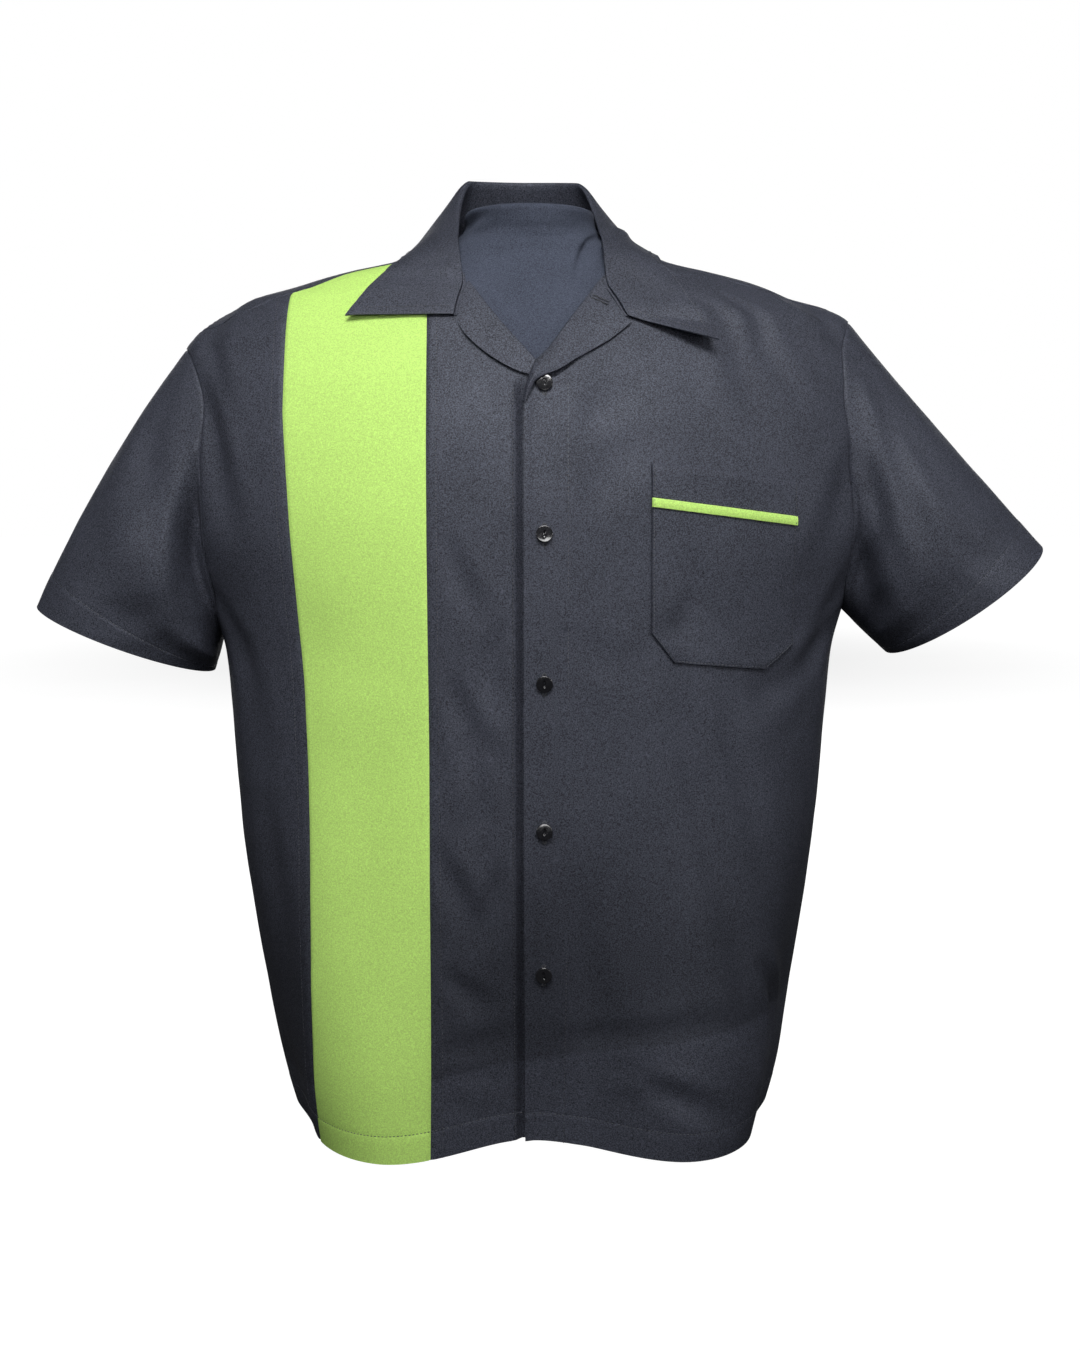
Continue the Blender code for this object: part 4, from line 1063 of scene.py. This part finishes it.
def build_lapel(name, node, turns, side):
    share = np.linspace(0, 1, 22)
    x, height, rise = lapel_grid(turns, side, share)
    grids = [off_skin(x[:, :1] - side * out, height[:, :1], rise[:, :1] * up)[0] for out, up in LAPEL_ROLL]
    grids.append(off_skin(x, height, rise * (1 - LAPEL_SAG * np.sin(math.pi * share)))[0])
    grid = np.concatenate(grids, axis=1)
    obj = placed(shell(name, grid, BLACK, LAPEL_WALL, flipped=side < 0), node)


# ---- pocket ----
def pocket_place(share):
    """Across the pocket: x, and the heights of its foot and its mouth."""
    shares = column(POCKET, "share")
    foot, mouth = (np.interp(share, shares, column(POCKET, name)) for name in ("bottom", "top"))
    return mix(POCKET_LEFT_X, POCKET_RIGHT_X, share), foot, mouth


def pocket_columns():
    edge = np.array((0.0, 0.003, 0.006, 0.015, 0.03))
    shares = np.concatenate([np.linspace(0, 1, 31), edge, 1 - edge, column(POCKET, "share")])
    return np.unique(np.round(shares, 4))


def pocket_strip(name, node, look, drop, depth, rise, wall, rows, mouth=0.0, roundness=0.0):
    """A strip across the pocket, from so far below its mouth and so deep, or down to its foot."""
    share = pocket_columns()
    x, foot, top = pocket_place(share)
    high = top - drop
    low = high - depth if depth else foot
    close = np.array(NEAR_FOLD) * MM / np.mean(high - low)
    v = np.unique(np.concatenate([np.linspace(0, 1, rows), 1 - close] + ([] if depth else [close])))[:, None]
    height = mix(low, high, v)
    edge = np.minimum(share, 1 - share) * (POCKET_RIGHT_X - POCKET_LEFT_X) + np.zeros_like(height)
    if not depth:
        edge = np.minimum(edge, height - low)
    out = rise - POCKET_ROUND * np.exp(-(edge / POCKET_EDGE) ** 2) + roundness * np.sin(math.pi * v)
    out = out - POCKET_GROOVE * bell((edge - POCKET_STITCH) / POCKET_GROOVE_WIDTH)
    if mouth:
        pucker = 1 + sum(size * np.sin(share * rate + shift) for size, rate, shift in PUCKERS)
        out = out + mouth * np.sin(math.pi * share) ** 0.7 * pucker * ease(v) ** 2
        out = out - MOUTH_ROUND * np.exp(-((high - height) / MOUTH_EDGE) ** 2)
        out = out - MOUTH_GROOVE * bell((high - height - MOUTH_STITCH) / MOUTH_GROOVE_WIDTH)
    angle = angle_at(x + np.zeros_like(height), height)
    return placed(shell(name, cloth(angle, height, out), look, wall), node)


def build_pocket():
    band = pocket_strip("pocket_mouth_band", "pocket_band", BLACK, 0.0, POCKET_BAND,
                        POCKET_LAYER + BAND_RISE, TRIM_WALL, 14, MOUTH_GAPE)
    piping = pocket_strip("pocket_green_trim", "pocket_piping", GREEN, POCKET_BAND - TRIM_TUCK,
                          POCKET_PIPING + 0.6 * MM, POCKET_LAYER + PIPING_RISE, TRIM_WALL, 9,
                          roundness=TRIM_ROUND)
    bag = pocket_strip("pocket_bag", "pocket", BLACK, POCKET_BAND + POCKET_PIPING - 0.5 * MM, None,
                       POCKET_LAYER, PANEL_WALL, 60)


# ---- buttons ----
def button_model():
    """A fish-eye button: a domed disc with a rim, an oval eye and two holes in it."""
    clean_selection()
    bpy.ops.mesh.primitive_cylinder_add(vertices=48, radius=BUTTON_RADIUS, depth=BUTTON_THICK)
    disc = bpy.context.object
    bpy.ops.object.mode_set(mode="EDIT")
    built = bmesh.from_edit_mesh(disc.data)
    for face in built.faces:
        face.select = face.normal.z > 0.9
    built.select_flush_mode()
    bmesh.update_edit_mesh(disc.data)
    for inset, up in BUTTON_INSETS:
        bpy.ops.mesh.inset(thickness=inset * MM)
        bpy.ops.transform.translate(value=(0, 0, up * MM))
    bpy.ops.object.mode_set(mode="OBJECT")
    rounded = disc.modifiers.new("Edge", "BEVEL")
    rounded.width, rounded.segments, rounded.limit_method = BUTTON_EDGE, 4, "ANGLE"
    top = (0, 0, BUTTON_THICK * 0.46)
    bpy.ops.mesh.primitive_uv_sphere_add(segments=24, ring_count=12, radius=1.0, location=top)
    cutters = [bpy.context.object]
    cutters[0].scale = BUTTON_EYE
    for y in (-BUTTON_HOLE, BUTTON_HOLE):
        bpy.ops.mesh.primitive_cylinder_add(vertices=16, radius=0.5 * MM, depth=4 * MM, location=(0, y, 0))
        cutters.append(bpy.context.object)
    for cutter in cutters:
        cut = disc.modifiers.new("Cut", "BOOLEAN")
        cut.operation, cut.object, cut.solver = "DIFFERENCE", cutter, "EXACT"
    apply_modifiers(disc)
    for cutter in cutters:
        bpy.data.objects.remove(cutter, do_unlink=True)
    disc.data.shade_smooth()
    disc.data.set_sharp_from_angle(angle=math.radians(35))
    disc.data.materials.clear()
    disc.data.materials.append(RESIN)
    return disc


def button_frame(i):
    height = np.array(BUTTON_TOP - i * BUTTON_PITCH)
    angle = angle_at(np.array(BUTTON_X), height)
    normal = Vector(skin_normal(angle, height))
    point = Vector(cloth(angle, height, np.array(lap(BUTTON_X))))
    up = (Vector((0, 0, 1)) - normal * normal.z).normalized()
    turn = Matrix((up.cross(normal), up, normal)).transposed()
    return point, normal, turn


def build_buttons():
    """The buttons, each turned and leaning a little its own way, and the buttonholes under them."""
    model = button_model()
    holes = []
    for i, (tilt, lean) in enumerate(zip(BUTTON_TILTS, BUTTON_LEANS)):
        point, normal, turn = button_frame(i)
        button = model.copy()
        button.data = model.data.copy()
        button.name = f"fish_eye_button_{i + 1}"
        bpy.context.scene.collection.objects.link(button)
        place = Matrix.Translation(point + normal * (BUTTON_RISE + BUTTON_THICK / 2)) @ turn.to_4x4()
        place = place @ Matrix.Rotation(math.radians(-lean), 4, "X")
        button.data.transform(place @ Matrix.Rotation(math.radians(tilt), 4, "Z"))
        placed(button, f"button_{i + 1}")
        slit = [(side, y) for side in (1, -1) for y in np.linspace(-8.2, 7, 16)[::side]]
        path = np.array([tuple(point + turn @ Vector((x * MM, y * MM, 0))) for x, y in slit + slit[:1]])
        holes.append((path + np.array(normal) * 0.1 * MM, np.tile(np.array(normal), (len(path), 1))))
    bpy.data.objects.remove(model, do_unlink=True)
    sewn_line("buttonholes", holes, pitch=0.5 * MM, radius=0.24 * MM, across=1.6 * MM)


# ---- sewing lines ----
def cloth_line(angle, height, out=0.0):
    """Points and normals along a line on the cloth, out from it by a distance or a panel's rise."""
    out = out(angle, height) if callable(out) else out
    return cloth(angle, height, out), skin_normal(angle, height)


def body_line(x_of, low, high, rise=0.0):
    height = np.linspace(low, high, 160)
    return cloth_line(angle_at(x_of(height), height), height, rise)


def hem_line(first, last, rise=0.0):
    angle = np.radians(np.linspace(first, last, int(abs(last - first) * 2)))
    return cloth_line(angle, levels(HEM, wrapped(angle)) + HEM_DEPTH, rise)


def build_sewing(cuffs):
    sewn_line("front_topstitching", [
        body_line(lambda z: straight(INSERT_INNER, z) + TOPSTITCH, 0.012, 0.600),
        body_line(lambda z: straight(INSERT_OUTER, z) - OUTER_TOPSTITCH, 0.012, 0.612),
        body_line(lambda z: np.full_like(z, FACING_X), 0.014, 0.560, lapped),
        body_line(lambda z: np.full_like(z, UNDERLAP_STITCH_X), 0.016, 0.545),
    ])
    split = math.degrees(float(angle_at(PLACKET[0].x, 0.035)))
    sewn_line("hem_stitching", [hem_line(split + HEM_GAP, 90, lapped), hem_line(90, 270),
                                hem_line(-90, split - HEM_GAP)])
    sewn_line("cuff_stitching", cuffs)


def collar_stitching():
    """A row inside the collar's outer edge, and one inside each of its front edges."""
    places = np.linspace(0, len(COLLAR) - 1, 280)
    inner, outer = collar_surface(places, np.array([COLLAR_END - 1.0, COLLAR_END]))
    span = np.linalg.norm(inner - outer, axis=1)[:, None]
    path = mix(inner, outer, 1.0 - COLLAR_STITCH / span)
    normal = unit(np.cross(outer - inner, np.gradient(path, axis=0)))
    normal = normal * np.sign(normal[:, 2:3] + 1e-9)
    inside = (places > COLLAR_ROW[0]) & (places < COLLAR_ROW[1])
    lines = [(path[inside], normal[inside])]
    steps = np.linspace(FALL_START, COLLAR_END - 0.6, 40)
    for place in COLLAR_ENDS:
        run, side = (collar_surface(np.array([at]), steps)[:, 0] for at in (place, place + 0.1))
        up = unit(np.cross(side - run, np.gradient(run, axis=0)))
        lines.append((run, up * np.sign(-up[:, 1:2] + 1e-9)))
    return lines


def lapel_hole():
    """The stitched buttonhole on the left lapel, as two rows."""
    xs, zs = (np.linspace(start, end, 14) for start, end in zip(LAPEL_HOLE[0], LAPEL_HOLE[1]))
    return [off_skin(xs + 0.4 * aside, zs + aside, LAYER + 0.9 * MM + lap(xs + 0.4 * aside))
            for aside in (-0.9 * MM, 0.9 * MM)]


def pocket_lines():
    """Edge stitching round the pocket, and the line over its trim."""
    width = POCKET_RIGHT_X - POCKET_LEFT_X
    inset = POCKET_STITCH / width
    foot_x, foot, _ = pocket_place(np.linspace(inset, 1 - inset, 90))
    down, up = np.linspace(0.4925, 0.378, 60), np.linspace(0.369, 0.4795, 60)
    left, right = POCKET_LEFT_X + POCKET_STITCH, POCKET_RIGHT_X - POCKET_STITCH
    xs = np.concatenate([np.full(60, left), foot_x, np.full(60, right)])
    zs = np.concatenate([down, foot + POCKET_STITCH, up])
    on_band = zs > pocket_place((xs - POCKET_LEFT_X) / width)[2] - POCKET_BAND - POCKET_PIPING
    out = POCKET_LAYER + np.where(on_band, PIPING_RISE + 0.1 * MM, 0) - 0.15 * MM
    x, _, top = pocket_place(np.linspace(0.02, 0.98, 80))
    z = top - POCKET_BAND + 1.2 * MM
    return [cloth_line(angle_at(xs, zs), zs, out), cloth_line(angle_at(x, z), z, POCKET_LAYER + BAND_RISE)]


# ---- the dress form ----
def build_form():
    rows = list(FORM)
    for row in SHOULDERS:
        shirt = ring(np.array(row.height + FORM_DROP))
        side = min(float(shirt.left), float(shirt.right), FORM_SHOULDER + FORM_INSET) - FORM_INSET
        rows.append(FormSection(row.height, side, float(shirt.front) - row.forward,
                                float(shirt.back) - FORM_INSET, float(shirt.squareness)))
    rows += NECK_ROWS
    heights = column(rows, "height")
    fine = np.unique(np.concatenate([heights, np.linspace(0.0, 0.59, 40), np.linspace(0.595, 0.678, 84)]))
    side, front, back, squareness = (smooth(heights, column(rows, name), fine)[:, None]
                                     for name in FormSection._fields[1:])
    turn = 2 * math.pi * np.arange(240)[None, :] / 240
    section = Section(fine[:, None] + np.zeros_like(turn), side, side, front, back, squareness)
    grid = ring_point(section, turn)
    dents = creased(grid[..., 0], grid[..., 2], COVER_CREASES) * (grid[..., 1] < 0)
    dents = dents + rumpled(grid, 2.0) * ease((grid[..., 2] - 0.60) / 0.02)
    grid = grid + unit(grid * (1, 1, 0)) * dents[..., None]
    count, wide = grid.shape[:2]
    verts = np.concatenate([grid.reshape(-1, 3), [[0, 0, 0.0]], [[0, 0, FORM_TOP]]])
    faces = [tuple(f) for f in grid_faces(count, wide, closed=True)]
    for j in range(wide):
        k = (j + 1) % wide
        faces.append((k, j, count * wide))
        faces.append(((count - 1) * wide + j, (count - 1) * wide + k, count * wide + 1))
    obj = mesh_object("covered_form", verts, faces, COVER)
    obj.data.shade_smooth()
    obj.data.set_sharp_from_angle(angle=math.radians(50))
    placed(obj, "dress_form")


# ---- studio ----
# Each light's name, size, watts, place, aim and spread in degrees.
LIGHTS = (
    ("high_key", (1.6, 0.8), 5.6, (0, -1.4, 2.0), (0, 0, 0.50), 50),
    ("front_fill", (1.2, 0.4), 0.46, (0.20, -2.1, 0.70), (0, 0, 0.38), 40),
    ("left_fill", (0.5, 0.5), 0.35, (-1.6, -1.3, 0.9), (-0.1, 0, 0.38), 50),
    ("right_fill", (0.5, 0.5), 0.6, (1.6, -1.3, 0.9), (0.1, 0, 0.38), 50),
    ("top", (1.4, 0.8), 2, (0.1, -0.5, 2.2), (0, 0, 0.45), 180),
    ("back_left", (1.2, 1.2), 15, (-0.8, 2.3, 0.8), (0, 0, 0.35), 180),
    ("back_right", (1.2, 1.2), 13, (0.8, 2.3, 0.8), (0, 0, 0.35), 180),
)


def lens_split(tree, output, unseen, seen):
    """Shows one shader to the lens, and another to all other light."""
    path = add_node(tree, "ShaderNodeLightPath").outputs["Is Camera Ray"]
    parted = add_node(tree, "ShaderNodeMixShader", {"Fac": path, 1: unseen.outputs[0], 2: seen.outputs[0]})
    fill(tree, tree.nodes[output], {"Surface": parted.outputs[0]})


def floor_look():
    """Pale paper: bright where the lens sees it, so that it runs into the background, and calm otherwise."""
    look, tree, shader = new_look("pale_floor", {"Roughness": 0.9, "Specular IOR Level": 0.1,
                                                 "Base Color": (0.15, 0.15, 0.15, 1)})
    place = object_place(tree)
    cloud = add_node(tree, "ShaderNodeTexNoise", {"Scale": 3.0, "Vector": place}).outputs["Fac"]
    far = add_node(tree, "ShaderNodeVectorMath", {0: place}, operation="LENGTH").outputs["Value"]
    sweep = ranged(tree, far, 0.3, 1.8, 0.80, 1.0, "SMOOTHSTEP")
    strength = number(tree, "MULTIPLY_ADD", cloud, 0.02, sweep)
    glow = add_node(tree, "ShaderNodeEmission", {"Strength": strength})
    both = add_node(tree, "ShaderNodeAddShader", {0: shader.outputs[0], 1: glow.outputs[0]})
    dim = add_node(tree, "ShaderNodeBsdfDiffuse", {"Color": (0.06, 0.06, 0.06, 1)})
    lens_split(tree, "Material Output", dim, both)
    return look


def area_light(name, size, power, location, target, spread):
    light = bpy.data.lights.new(name, "AREA")
    light.spread = math.radians(spread)
    light.shape = "RECTANGLE"
    light.size, light.size_y = size
    light.energy = power
    obj = bpy.data.objects.new(name, light)
    bpy.context.scene.collection.objects.link(obj)
    obj.location = location
    obj.rotation_euler = (Vector(target) - Vector(location)).to_track_quat("-Z", "Y").to_euler()


def build_studio():
    scene = bpy.context.scene
    scene.view_settings.view_transform = "Standard"
    scene.world = bpy.data.worlds.new("studio")
    scene.world.use_nodes = True
    tree = scene.world.node_tree
    room = tree.nodes["Background"]
    fill(tree, room, {"Color": (0.90, 0.94, 1.0, 1.0), "Strength": 0.045})
    seen = add_node(tree, "ShaderNodeBackground", {"Color": (1.0, 1.0, 1.0, 1.0)})
    lens_split(tree, "World Output", room, seen)
    clean_selection()
    bpy.ops.mesh.primitive_plane_add(size=24.0, location=(0, 4, 0))
    floor = bpy.context.object
    floor.name = "studio_floor"
    floor.data.materials.append(floor_look())
    for light in LIGHTS:
        area_light(*light)
    camera = bpy.data.cameras.new("camera")
    camera.lens, camera.sensor_width = 53.333, 36
    obj = bpy.data.objects.new("camera", camera)
    scene.collection.objects.link(obj)
    obj.location = (0.007, -1.5, 0.48)
    obj.rotation_euler = (math.radians(84.5), 0, 0)
    scene.camera = obj


def main():
    build_studio()
    build_form()
    build_body()
    cuffs = [build_sleeve("right_sleeve", "sleeve_right", SLEEVE_RIGHT),
             build_sleeve("left_sleeve", "sleeve_left", SLEEVE_LEFT)]
    build_collar()
    build_lapel("right_lapel", "lapel_right", LAPEL_RIGHT, -1)
    build_lapel("left_lapel", "lapel_left", LAPEL_LEFT, 1)
    build_pocket()
    build_buttons()
    build_sewing(cuffs)
    sewn_line("lapel_buttonhole", lapel_hole(), pitch=0.55 * MM, radius=0.26 * MM, across=1.5 * MM)
    sewn_line("collar_stitching", collar_stitching())
    sewn_line("pocket_stitching", pocket_lines())


main()
